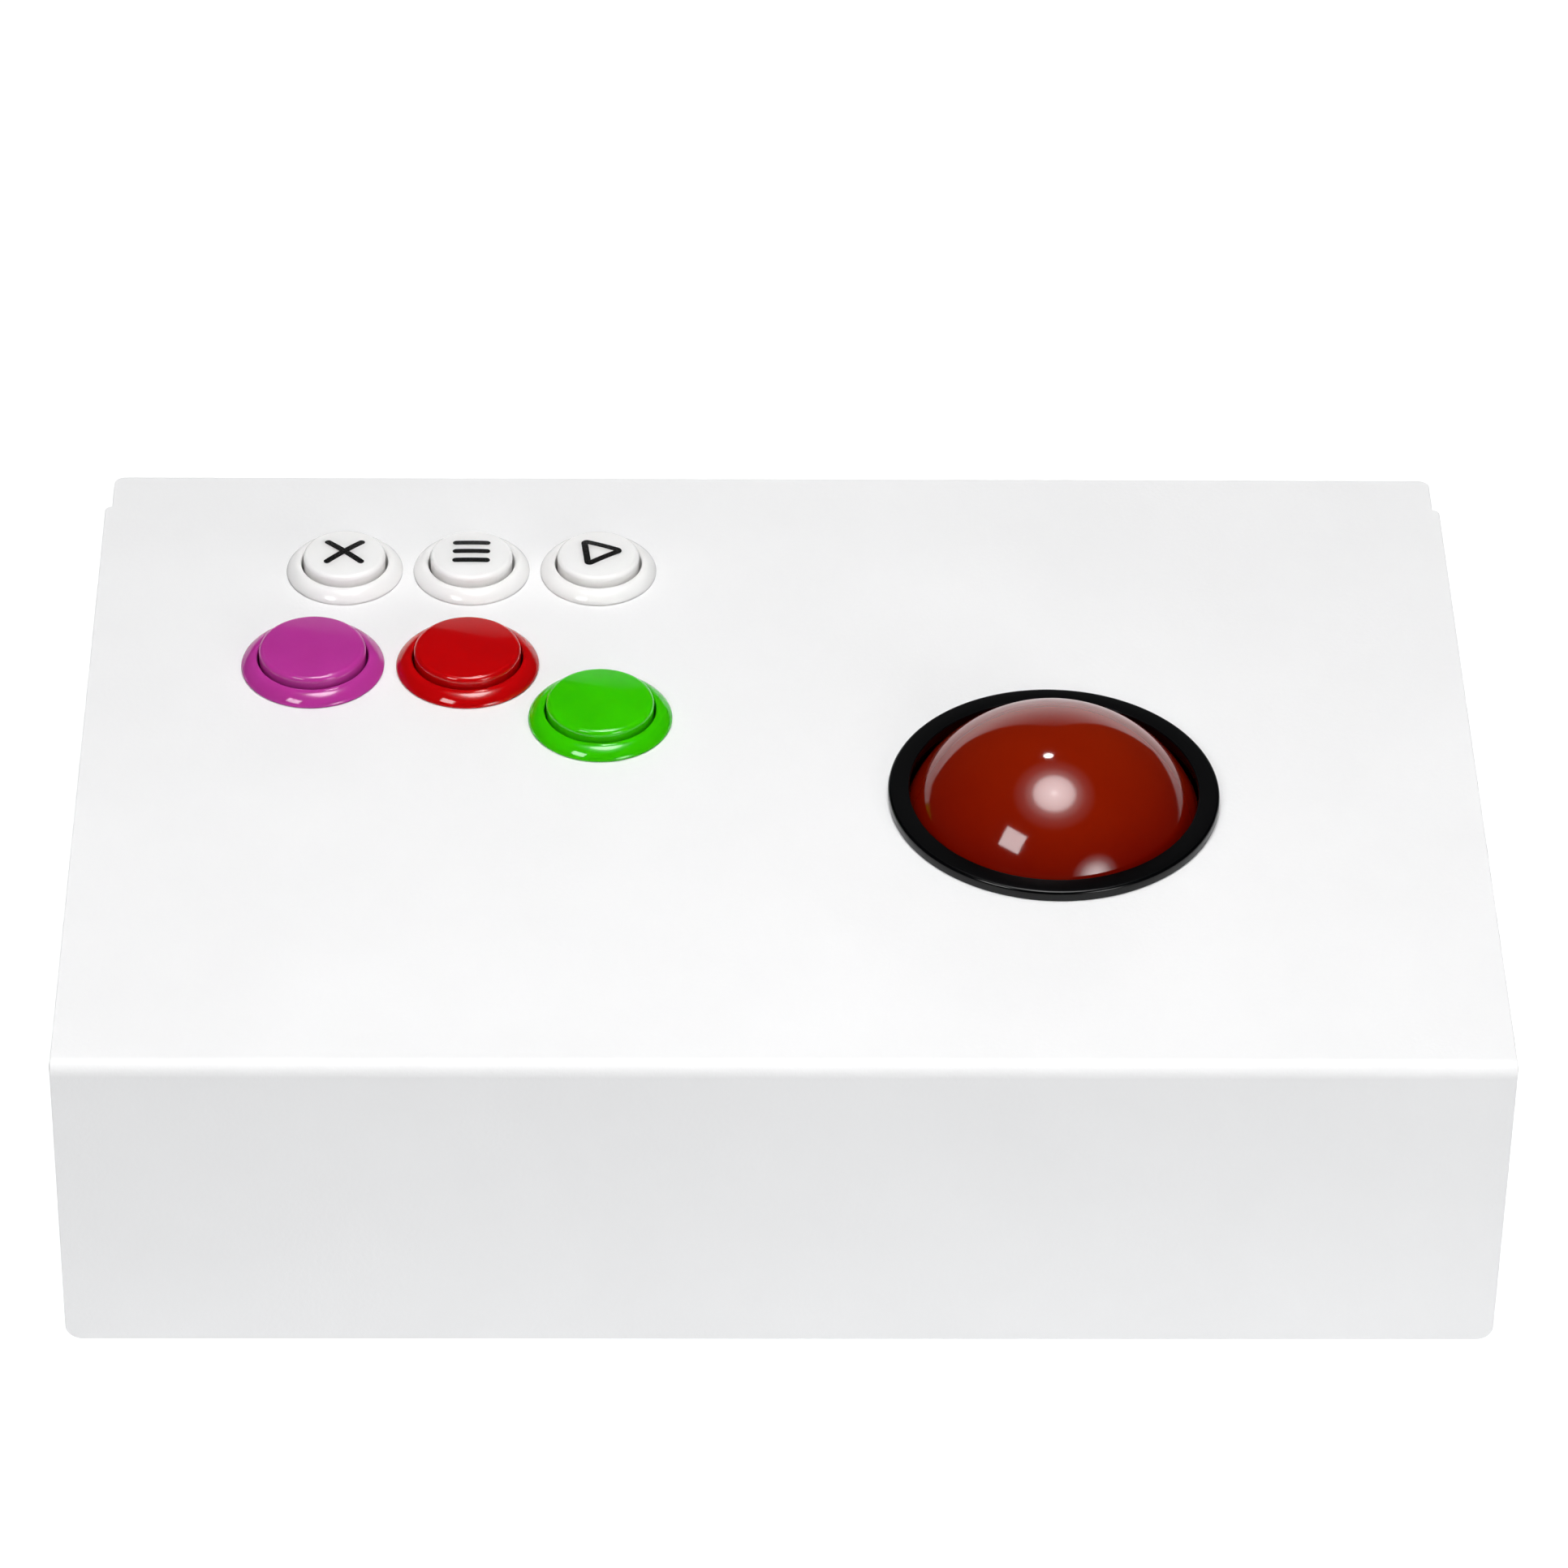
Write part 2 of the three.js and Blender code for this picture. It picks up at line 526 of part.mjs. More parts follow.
// A slotted disc on a hub. The light of the sensor's fork passes through the slots.
function encoderWheel() {
  const slots = 10;
  const bore = SHAFT_RADIUS + 0.2;
  const profile = [[bore, 29.5], [5, 29.5], [5, 31], [WHEEL_RADIUS, 31], [WHEEL_RADIUS, 33], [bore, 33]];
  let wheel = turned(profile, 20);
  for (let i = 0; i < slots; i += 1) {
    const slot = block(6.6, 9.6, -0.7, 0.7, 30, 34);
    wheel = wheel.subtract(slot.rotate([0, 0, (360 * i) / slots]));
  }
  return wheel;
}

// A small circuit board that stands in the tray, with a fork round the wheel's rim.
function sensorBoard(roller) {
  const axle = -ROLLER_DROP;
  const board = sensorBlock(roller, 12.3, 13.9, 28, 42, TRAY_BOTTOM - 3, -25);
  const fork = sensorBlock(roller, 13.5, 25.5, 27.5, 36.5, axle - 4, axle + 3.6);
  const slot = sensorBlock(roller, 18, 26, 30.4, 33.6, axle - 5, axle + 5);
  return board.add(fork.subtract(slot));
}

function hexNut() {
  const nut = new THREE.CylinderGeometry(4.04, 4.04, 3.2, 6).rotateX(Math.PI / 2);
  return solidOf(nut).subtract(upright(2.3, -2, 2));
}

function trayScrew() {
  const profile = [[0, -2.1], [2.4, -2.1], [2.8, -1.6], [2.8, -SEAT], [1.5, -SEAT], [1.5, 34], [0, 34]];
  return turned(profile, 8, true);
}

const ball = new THREE.SphereGeometry(BALL_RADIUS, 24, 12);
place(trackball, 'trackball_ball', solidOf(ball), gloss(0x7c1402));
place(trackball, 'trackball_ring', retainingRing(), blackPlastic, [0, 0, BALL_DROP]);
place(trackball, 'trackball_shell', housingShell(), blackPlastic);
place(trackball, 'trackball_tray', housingTray(), blackPlastic);

for (const roller of ROLLERS) {
  const x = ROLLER_OFFSET * Math.cos(roller.azimuth);
  const y = ROLLER_OFFSET * Math.sin(roller.azimuth);
  const shaft = groupAt(trackball, x, y, -ROLLER_DROP);
  shaft.rotation.set(0, Math.PI / 2, roller.along, 'ZYX');
  const long = roller.name !== 'idler_roller';
  place(shaft, roller.name, long ? longRoller() : idlerRoller(), steel);
  roller.bearings.forEach((start, i) => {
    place(shaft, `${roller.name}_bearing_${i + 1}`, bearing(), steel, [0, 0, start]);
  });
  if (long) {
    const axis = roller.name[0];
    place(shaft, `${axis}_encoder_wheel`, encoderWheel(), blackPlastic);
    place(trackball, `${axis}_sensor_board`, sensorBoard(roller), circuitBoard);
  }
}

for (const [sx, sy, where] of CORNERS) {
  const nutHeight = UNDERSIDE - SEAT - 4.2 - SEAT - 1.6;
  place(trackball, `${where}_stud_nut`, hexNut(), steel, [sx * STUD, sy * STUD, nutHeight]);
  place(trackball, `${where}_tray_screw`, trayScrew(), steel, [sx * BOSS, sy * BOSS, TRAY_BOTTOM]);
}

// ---------------------------------------------------------------- electronics

// Controller board with its chip and two wire connectors.
function controllerBoard() {
  const { x, y, width, depth, thickness, bottom } = BOARD;
  const top = bottom + thickness;
  let board = block(x - width / 2, x + width / 2, y - depth / 2, y + depth / 2, bottom, top);
  board = board.add(block(x - 26, x - 12, y - 4, y + 10, top - 0.5, top + 1.4));
  board = board.add(block(x - 10, x + 10, y - 24, y - 17, top - 0.5, top + 8));
  board = board.add(block(x + 22, x + 34, y - 24, y - 17, top - 0.5, top + 8));
  for (const [sx, sy] of CORNERS) {
    const [holeX, holeY] = [x + sx * (width / 2 - 5), boardHoleY(sy)];
    board = board.subtract(upright(1.7, bottom - 1, top + 1, holeX, holeY, 10));
  }
  return board;
}

// The square cable socket, open to the rear.
function cableSocket() {
  const { width, height, depth, cavity, cavityHeight, cavityDepth } = SOCKET;
  const z0 = BOARD.bottom + BOARD.thickness + SEAT;
  const face = REAR_WALL + 0.5;
  const body = block(BOARD.x - width / 2, BOARD.x + width / 2, face - depth, face, z0, z0 + height);
  const middle = z0 + height / 2;
  const [x2, x3] = [BOARD.x - cavity / 2, BOARD.x + cavity / 2];
  const [z2, z3] = [middle - cavityHeight / 2, middle + cavityHeight / 2];
  return body.subtract(block(x2, x3, face - cavityDepth, face + 1, z2, z3));
}

// Wires from the controller's middle connector to the six switches.
function buttonLoom() {
  const start = BOARD.bottom + BOARD.thickness + 8 + GAP;
  const rootY = BOARD.y - 20.5;
  const fork = [BOARD.x, rootY, start + 14];
  let loom = tube([[BOARD.x, rootY, start], [BOARD.x, rootY, start + 7], fork], 3, 4, 8);
  for (const button of BUTTONS) {
    const end = PANEL_TOP - BODY_DEPTH - SEAT - SWITCH.height - 6.5 - GAP;
    const y = FRONT + button.y;
    const halfway = [(fork[0] + button.x) / 2, (rootY + y) / 2, fork[2] + 1.5];
    loom = loom.add(tube([[BOARD.x, rootY, start + 12], halfway, [button.x, y, end]], 1.3, 5, 5));
  }
  return loom;
}

// Wires from the controller's right-hand connector, along the base, to the two sensor boards.
function trackballLoom() {
  const start = BOARD.bottom + BOARD.thickness + 8 + GAP;
  const low = BASE_BOTTOM + SHEET + GAP + 3;
  const rootX = BOARD.x + 28;
  const rootY = BOARD.y - 20.5;
  const plugZ = PANEL_TOP - BALL_DROP + TRAY_BOTTOM - 3 - GAP;
  const [mouthX, mouthY] = [BALL_X - 13.1, BALL_Y - 35];
  const [otherX, otherY] = [BALL_X + 35, BALL_Y + 13.1];
  const fork = [-20, 20, low];
  const rise = [[rootX, rootY, start], [rootX, rootY, start + 4], [rootX, rootY - 6, start + 7],
    [rootX + 4, rootY - 16, start - 2]];
  const first = [[10, 0, low], [40, -30, low], [mouthX, mouthY, low + 3], [mouthX, mouthY, plugZ]];
  const second = [[10, 6, low], [60, 8, low], [otherX, otherY, low + 3], [otherX, otherY, plugZ]];
  return tube([...rise, fork, ...first], 2, 18, 6).add(tube([fork, ...second], 1.5, 10, 6));
}

place(panel, 'controller_board', controllerBoard(), circuitBoard);
place(panel, 'cable_socket', cableSocket(), steel);
place(panel, 'button_loom', buttonLoom(), wireSleeve);
place(panel, 'trackball_loom', trackballLoom(), wireSleeve);

export default panel;
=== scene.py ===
"""Arcade trackball control box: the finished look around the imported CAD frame.
+Z is up and -Y is the front. Meshes are built in millimetres, and finish_mesh scales them to metres."""
import bmesh
import bpy
from math import copysign, cos, hypot, pi, radians, sin, tan, tau
from types import SimpleNamespace
from mathutils import Matrix, Vector
from mathutils.geometry import tessellate_polygon


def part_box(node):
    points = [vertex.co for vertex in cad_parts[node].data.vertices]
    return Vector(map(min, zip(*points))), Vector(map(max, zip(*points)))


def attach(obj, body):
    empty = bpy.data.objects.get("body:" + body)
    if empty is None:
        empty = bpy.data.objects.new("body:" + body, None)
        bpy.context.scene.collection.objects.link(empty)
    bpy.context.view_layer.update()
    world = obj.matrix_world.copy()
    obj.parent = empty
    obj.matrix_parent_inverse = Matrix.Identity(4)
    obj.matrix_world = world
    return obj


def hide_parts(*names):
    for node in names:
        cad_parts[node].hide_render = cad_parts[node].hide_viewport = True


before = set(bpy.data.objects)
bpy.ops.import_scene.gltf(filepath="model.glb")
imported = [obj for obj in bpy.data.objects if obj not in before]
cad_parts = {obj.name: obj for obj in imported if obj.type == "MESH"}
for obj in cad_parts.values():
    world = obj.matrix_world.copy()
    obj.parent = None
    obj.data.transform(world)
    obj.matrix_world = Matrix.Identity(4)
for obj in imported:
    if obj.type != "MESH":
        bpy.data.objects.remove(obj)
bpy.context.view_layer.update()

MM = 0.001
CORNERS = ("front_left", "front_right", "rear_left", "rear_right")
# Each button and its finish
BUTTONS = {"purple_button": "purple_plastic", "red_button": "red_plastic",
           "green_button": "green_plastic", "cancel_button": "white_plastic",
           "menu_button": "white_plastic", "play_button": "white_plastic"}

# --- places read from the frame

def box(node):
    """The corners of a CAD node's box, in millimetres."""
    return [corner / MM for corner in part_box(node)]


def span(node):
    """The low corner, the high corner and the middle of a CAD node's box."""
    low, high = box(node)
    return low, high, (low + high) / 2


def middle(node):
    return span(node)[2]


COVER_LOW, COVER_HIGH = box("top_cover")
REAR_LOW, REAR_HIGH = box("rear_wall")
BASE_LOW, BASE_HIGH = box("base_plate")
BALL_CENTRE = middle("trackball_ball")
BALL_RADIUS = box("trackball_ball")[1].z - BALL_CENTRE.z
RING_LOW, RING_HIGH = box("trackball_ring")
SOCKET_LOW, SOCKET_HIGH, SOCKET_CENTRE = span("cable_socket")
BOARD_LOW, BOARD_HIGH, BOARD_CENTRE = span("controller_board")
PANEL_TOP = COVER_HIGH.z
FRONT = COVER_LOW.y
REAR = REAR_HIGH.y
WALL_FACE = box("right_side_wall")[1].x

# Sheet metal
SHEET = 1.5
SHEET_EDGE = 0.25  # the coating rounds every cut edge
FRONT_BEND = 3.4
WALL_BEND = 2.2
FLANGE = 16
GAP = 0.3
COLLAR_HOLE = 36.35
FOOT_SCREWS = [middle(corner + "_foot_screw") for corner in CORNERS]
BOARD_HOLES = [(x, y) for x in (BOARD_LOW.x + 5, BOARD_HIGH.x - 5) for y in (50, 78)]
STUDS = [(x, y) for x in (-48.5, 48.5) for y in (-48.5, 48.5)]  # round the ball, on the cover's underside


# --- mesh building

def add_object(name, data):
    thing = bpy.data.objects.new(name, data)
    bpy.context.scene.collection.objects.link(thing)
    return thing


def finish_mesh(name, bm, slot, nodes=(), body="case", smooth_angle=35, material=None):
    """Turns a bmesh into a piece that rides on a body and stands for some CAD nodes."""
    bmesh.ops.scale(bm, vec=(MM, MM, MM), verts=bm.verts)
    bmesh.ops.recalc_face_normals(bm, faces=bm.faces)
    mesh = bpy.data.meshes.new(name)
    bm.to_mesh(mesh)
    bm.free()
    for polygon in mesh.polygons:
        polygon.use_smooth = True
    mesh.set_sharp_from_angle(angle=radians(smooth_angle))
    piece = add_object(name, mesh)
    mesh.materials.append(MATERIALS[material or slot])
    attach(piece, body)
    if nodes:
        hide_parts(*nodes)
    return piece


def finish_node(node, look, bm, slot, **options):
    """A piece that stands for one CAD node and takes its name."""
    return finish_mesh(f"{node}_{look}", bm, slot, [node], **options)


def finish_flat(node, look, bm, slot):
    """A piece whose large flat faces stay flat next to their rounded edges."""
    modifier = finish_node(node, look, bm, slot).modifiers.new("weighted_normals", "WEIGHTED_NORMAL")
    modifier.keep_sharp = True
    modifier.weight = 80


def fillet(points, steps=6):
    """A closed outline whose corners are arcs.

    Each point is (x, y, radius), or (x, y) for a sharp corner.
    """
    corners = [tuple(point) + (0,) * (3 - len(point)) for point in points]
    path = []
    for i, (x, y, radius) in enumerate(corners):
        here = Vector((x, y))
        if radius == 0:
            path.append(here)
            continue
        before = (Vector(corners[i - 1][:2]) - here).normalized()
        after = (Vector(corners[(i + 1) % len(corners)][:2]) - here).normalized()
        half = before.angle(after) / 2
        reach = radius / tan(half)
        centre = here + (before + after).normalized() * radius / sin(half)
        start, end = here + before * reach - centre, here + after * reach - centre
        sweep = start.angle_signed(end)
        for k in range(steps + 1):
            turned = start.copy()
            turned.rotate(Matrix.Rotation(-sweep * k / steps, 2))
            path.append(centre + turned)
    return path


def rounded_rectangle(x0, x1, y0, y1, radius, steps=6):
    return fillet([(x0, y0, radius), (x1, y0, radius), (x1, y1, radius), (x0, y1, radius)], steps)


def rounded_square(half, radius, steps=6):
    return rounded_rectangle(-half, half, -half, half, radius, steps)


def circle(x, y, radius, count=96):
    return [Vector((x + radius * cos(tau * i / count), y + radius * sin(tau * i / count)))
            for i in range(count)]


def is_anticlockwise(loop):
    return sum(a.x * b.y - b.x * a.y for a, b in zip(loop, loop[1:] + loop[:1])) > 0


def inset_directions(loop):
    """For each corner, the step that moves it one unit into the material, which lies on the left."""
    moves = []
    for i, here in enumerate(loop):
        a = (here - loop[i - 1]).normalized()
        b = (loop[(i + 1) % len(loop)] - here).normalized()
        normal_a, normal_b = Vector((-a.y, a.x)), Vector((-b.y, b.x))
        moves.append((normal_a + normal_b) / (1 + normal_a.dot(normal_b)))
    return moves


def bridge(bm, rings):
    """Joins each ring of vertices to the next with faces."""
    for a, b in zip(rings, rings[1:]):
        for i in range(len(a)):
            bm.faces.new((a[i - 1], a[i], b[i], b[i - 1]))


def add_tube(bm, rings):
    bridge(bm, rings)
    bm.faces.new(rings[0])
    bm.faces.new(rings[-1])


def sheet_bmesh(outline, holes, thickness, edge=SHEET_EDGE, edge_steps=4):
    """A flat plate with rounded edges. Its outer face is at z = 0 and its inner face at -thickness."""
    bm = bmesh.new()
    levels = []
    for k in range(edge_steps + 1):
        angle = pi / 2 * k / edge_steps
        levels.append((edge * (1 - sin(angle)), -edge * (1 - cos(angle))))
    levels += [(inset, -thickness - z) for inset, z in reversed(levels)]
    loops = [outline if is_anticlockwise(outline) else outline[::-1]]
    loops += [hole[::-1] if is_anticlockwise(hole) else hole for hole in holes]
    caps = {0: [], len(levels) - 1: []}
    for loop in loops:
        moves = inset_directions(loop)
        rings = []
        for inset, z in levels:
            spots = [p + step * inset for p, step in zip(loop, moves)]
            rings.append([bm.verts.new((spot.x, spot.y, z)) for spot in spots])
        bridge(bm, rings)
        for level in caps:
            caps[level].append(rings[level])
    for rings in caps.values():
        flat = [[Vector((v.co.x, v.co.y, 0)) for v in ring] for ring in rings]
        verts = [v for ring in rings for v in ring]
        for triangle in tessellate_polygon(flat):
            bm.faces.new([verts[i] for i in triangle])
    return bm


def fold(bm, straight, radius, steps=14, bulge=0.0, half_width=0.0):
    """Folds a flat sheet up by 90 degrees. It lies along +y: a straight stretch, the bend, then the rest.
    Afterwards the first stretch runs up +z, the bend is at the top and the rest runs along +y. The metal
    inside the bend squeezes out by `bulge` at the sheet's two ends."""
    bend = radius * pi / 2
    for k in range(steps + 1):
        everything = bm.verts[:] + bm.edges[:] + bm.faces[:]
        cut = (0, straight + bend * k / steps, 0)
        bmesh.ops.bisect_plane(bm, geom=everything, plane_co=cut, plane_no=(0, 1, 0), dist=1e-4)
    for vert in bm.verts:
        x, along, depth = vert.co.x, vert.co.y, -vert.co.z
        if along <= straight:
            vert.co = (x, depth, along)
        elif along >= straight + bend:
            vert.co = (x, radius + along - straight - bend, straight + radius - depth)
        else:
            angle = (along - straight) / radius
            reach = radius - depth
            if abs(x) > half_width - SHEET_EDGE - 0.001:
                x += copysign(bulge * sin(2 * angle) * depth / SHEET, x)
            vert.co = (x, radius - reach * cos(angle), straight + reach * sin(angle))


def transform(bm, matrix):
    bmesh.ops.transform(bm, matrix=matrix, verts=bm.verts)


def upright(y, z=0, facing=1):
    """Stands a flat shape up: its y becomes z, and its z becomes y, or -y."""
    return Matrix(((1, 0, 0, 0), (0, 0, facing, y), (0, 1, 0, z), (0, 0, 0, 1)))


def move(bm, x, y, z):
    transform(bm, Matrix.Translation((x, y, z)))


def add_sheet(bm, matrix, *shape):
    """Adds a plate at a place. Its shape is what sheet_bmesh takes."""
    slab = sheet_bmesh(*shape)
    transform(slab, matrix)
    mesh = bpy.data.meshes.new("slab")
    slab.to_mesh(mesh)
    slab.free()
    bm.from_mesh(mesh)
    bpy.data.meshes.remove(mesh)


def add_turned(bm, profile, segments, centre=(0, 0, 0)):
    """Turns a closed profile of (radius, height) points about z. Points on the axis make a pole."""
    cx, cy, cz = centre
    rings = []
    for radius, height in profile:
        if radius == 0:
            rings.append([bm.verts.new((cx, cy, cz + height))])
            continue
        rings.append([bm.verts.new((p.x, p.y, cz + height)) for p in circle(cx, cy, radius, segments)])
    on_axis = len(rings[0]) == 1
    pairs = list(zip(rings, rings[1:])) if on_axis else list(zip(rings, rings[1:] + rings[:1]))
    for a, b in pairs:
        for i in range(segments):
            j = (i + 1) % segments
            if len(a) == 1 and len(b) == 1:
                continue
            if len(a) == 1:
                bm.faces.new((a[0], b[j], b[i]))
            elif len(b) == 1:
                bm.faces.new((a[i], a[j], b[0]))
            else:
                bm.faces.new((a[i], a[j], b[j], b[i]))
    return bm


def add_block(bm, low, high, rounding=0.15, steps=2):
    """A box with rounded edges."""
    centre = (Vector(low) + Vector(high)) / 2
    size = Vector(high) - Vector(low)
    matrix = Matrix.Translation(centre) @ Matrix.Diagonal((*size, 1))
    made = bmesh.ops.create_cube(bm, size=1, matrix=matrix)
    edges = list(dict.fromkeys(edge for vert in made["verts"] for edge in vert.link_edges))
    bmesh.ops.bevel(bm, geom=edges, offset=rounding, segments=steps, affect="EDGES", profile=0.5)


# --- materials

MATERIALS = {}


class Nodes:
    """A short way to write a procedural material on one Principled shader."""

    def __init__(self, name, colour, roughness, metallic=0.0, **sockets):
        self.material = MATERIALS[name] = bpy.data.materials.new(name)
        self.material.use_nodes = True
        self.tree = self.material.node_tree
        self.shader = self.tree.nodes["Principled BSDF"]
        self.set(self.shader, Base_Color=(*colour, 1), Roughness=roughness, Metallic=metallic, **sockets)
        self.coordinates = self.node("TexCoord").outputs["Object"]
        self.bump_input = None

    def set(self, node, **values):
        """Sets a node's inputs. An underscore in a name stands for a space."""
        for name, value in values.items():
            node.inputs[name.replace("_", " ")].default_value = value

    def node(self, kind, **values):
        made = self.tree.nodes.new("ShaderNode" + kind)
        self.set(made, **values)
        return made

    def link(self, source, target):
        self.tree.links.new(source, target)

    def noise(self, per_mm, detail=3.0, roughness=0.5, stretch=None):
        """Noise with this many features to the millimetre."""
        source = self.coordinates
        if stretch:
            mapping = self.node("Mapping", Scale=stretch)
            self.link(source, mapping.inputs["Vector"])
            source = mapping.outputs["Vector"]
        node = self.node("TexNoise", Scale=per_mm / MM, Detail=detail, Roughness=roughness)
        self.link(source, node.inputs["Vector"])
        return node.outputs["Fac"]

    def ramp(self, factor, low, high, low_value, high_value):
        node = self.node("MapRange", From_Min=low, From_Max=high, To_Min=low_value, To_Max=high_value)
        self.link(factor, node.inputs["Value"])
        return node.outputs["Result"]

    def upward(self):
        """The height of the surface normal: 1 on a level face, 0 on an upright one."""
        geometry = self.node("NewGeometry")
        split = self.node("SeparateXYZ")
        self.link(geometry.outputs["Normal"], split.inputs["Vector"])
        return split.outputs["Z"]

    def tint(self, factor, first, second, low=0.3, high=0.7):
        """The base colour varies between two colours."""
        node = self.node("Mix")
        node.data_type = "RGBA"
        self.set(node, A=(*first, 1), B=(*second, 1))
        self.link(self.ramp(factor, low, high, 0, 1), node.inputs["Factor"])
        self.link(node.outputs["Result"], self.shader.inputs["Base Color"])

    def vary_roughness(self, factor, low_value, high_value, low=0.3, high=0.7):
        self.link(self.ramp(factor, low, high, low_value, high_value), self.shader.inputs["Roughness"])

    def bump(self, factor, depth_mm):
        node = self.node("Bump", Distance=depth_mm * MM, Strength=1.0)
        self.link(factor, node.inputs["Height"])
        if self.bump_input:
            self.link(self.bump_input, node.inputs["Normal"])
        self.bump_input = node.outputs["Normal"]
        self.link(self.bump_input, self.shader.inputs["Normal"])


def powder_coat():
    n = Nodes("powder_coat", (0.86, 0.86, 0.865), 0.42, Specular_IOR_Level=0.45)
    peel = n.noise(1.1, detail=2.0)
    grain = n.noise(4.5, detail=2.0, roughness=0.6)
    cloud = n.noise(0.02)
    n.tint(cloud, (0.85, 0.85, 0.855), (0.875, 0.875, 0.88))
    n.vary_roughness(grain, 0.38, 0.48)
    n.bump(peel, 0.05)
    n.bump(grain, 0.02)


def gloss_plastic(name, colour, deep):
    """Glossy moulded plastic with faint flow marks and slight surface waviness."""
    n = Nodes(name, colour, 0.07, Specular_IOR_Level=0.5, Subsurface_Weight=0.75,
              Subsurface_Scale=3.5 * MM, Subsurface_Radius=(1, 1, 1))
    wave = n.noise(0.1, detail=1.0)
    fine = n.noise(2.5, detail=2.0)
    n.tint(wave, colour, deep)
    n.vary_roughness(fine, 0.05, 0.09)
    n.bump(wave, 0.008)
    n.bump(fine, 0.0003)


def matte_plastic(name, colour, lighter, roughness, grain_depth=0.02):
    """Moulded plastic with a spark-eroded grain."""
    n = Nodes(name, colour, roughness)
    grain = n.noise(3.2, roughness=0.65)
    n.tint(n.noise(0.1), colour, lighter)
    n.vary_roughness(grain, roughness - 0.08, roughness + 0.08)
    n.bump(grain, grain_depth)


def ball_resin():
    """Polished cast resin with faint swirls and handling marks. Its base colour is painted light: orange
    where the surface faces up and deep red on the upright sides, as if lit from above.
    """
    n = Nodes("ball_resin", (0.20, 0.006, 0.0), 0.05, Specular_IOR_Level=0.5)
    swirl = n.ramp(n.noise(0.03, detail=4.0, roughness=0.55), 0.3, 0.7, -0.15, 0.15)
    # painted light from above: depth mixes the normal's height (orange on faces that look up, deep red on
    # upright sides) with a small random swirl
    depth = n.node("Math")
    n.link(n.ramp(n.upward(), 0.35, 0.95, 0.1, 0.8), depth.inputs[0])
    n.link(swirl, depth.inputs[1])
    n.tint(depth.outputs["Value"], (0.135, 0.001, 0.0), (0.225, 0.011, 0.0), 0, 1)
    haze = n.noise(0.5, detail=6.0, roughness=0.7)
    n.vary_roughness(haze, 0.05, 0.11, 0.35, 0.75)
    n.bump(n.noise(0.9, detail=5.0, roughness=0.6, stretch=(1, 0.25, 1)), 0.001)


def ring_plastic():
    """Satin black moulding: grained on its flat top, smoother and glossier on its rounded edge."""
    n = Nodes("ring_plastic", (0.0010, 0.0011, 0.0014), 0.26, Specular_IOR_Level=0.16)
    grain = n.noise(3.5, roughness=0.6)
    n.link(n.ramp(n.upward(), 0.8, 0.99, 0.12, 0.32), n.shader.inputs["Roughness"])
    n.link(n.ramp(n.upward(), 0.8, 0.99, 0.3, 0.09), n.shader.inputs["Specular IOR Level"])
    n.bump(grain, 0.004)


def rubber():
    n = Nodes("foot_rubber", (0.022, 0.022, 0.022), 0.8, Specular_IOR_Level=0.3)
    dust = n.noise(0.6, detail=5.0)
    n.tint(dust, (0.018, 0.018, 0.018), (0.032, 0.031, 0.030))
    n.bump(n.noise(2.5, detail=4.0), 0.03)


def metal(name, colour, roughness, grain=(1, 1, 1), scale=2.0):
    """Plated or ground metal with fine directional marks."""
    n = Nodes(name, colour, roughness, metallic=1.0)
    marks = n.noise(scale, detail=4.0, roughness=0.7, stretch=grain)
    n.vary_roughness(marks, roughness - 0.06, roughness + 0.1)
    n.tint(n.noise(0.3), colour, tuple(c * 0.88 for c in colour))
    n.bump(marks, 0.002)


def circuit_board():
    n = Nodes("circuit_board", (0.012, 0.09, 0.035), 0.35, Specular_IOR_Level=0.5)
    traces = n.noise(0.7, detail=0.0, stretch=(1, 4, 1))
    n.tint(traces, (0.010, 0.075, 0.030), (0.022, 0.13, 0.05), 0.48, 0.52)
    n.bump(n.noise(6.0), 0.004)


def ink():
    n = Nodes("icon_ink", (0.008, 0.008, 0.008), 0.22, Coat_Weight=0.3, Coat_Roughness=0.08)
    n.vary_roughness(n.noise(4.0), 0.17, 0.3)


powder_coat()
gloss_plastic("purple_plastic", (0.465, 0.040, 0.31), (0.435, 0.035, 0.285))
gloss_plastic("red_plastic", (0.50, 0.001, 0.002), (0.465, 0.001, 0.002))
gloss_plastic("green_plastic", (0.042, 0.555, 0.0), (0.037, 0.515, 0.0))
gloss_plastic("white_plastic", (0.965, 0.945, 0.925), (0.945, 0.925, 0.905))
matte_plastic("switch_plastic", (0.012, 0.012, 0.013), (0.018, 0.018, 0.019), 0.45)
ball_resin()
ring_plastic()
matte_plastic("unit_plastic", (0.010, 0.010, 0.011), (0.016, 0.016, 0.017), 0.55, 0.04)
metal("roller_steel", (0.60, 0.60, 0.61), 0.22, (1, 0.1, 1))
metal("bearing_steel", (0.66, 0.66, 0.67), 0.16)
metal("fastener_steel", (0.56, 0.57, 0.58), 0.3)
matte_plastic("wheel_plastic", (0.012, 0.012, 0.012), (0.018, 0.018, 0.018), 0.4)
circuit_board()
metal("socket_metal", (0.62, 0.61, 0.59), 0.25)
rubber()
matte_plastic("wire_sleeve", (0.02, 0.02, 0.022), (0.03, 0.03, 0.032), 0.5)
ink()


# --- case

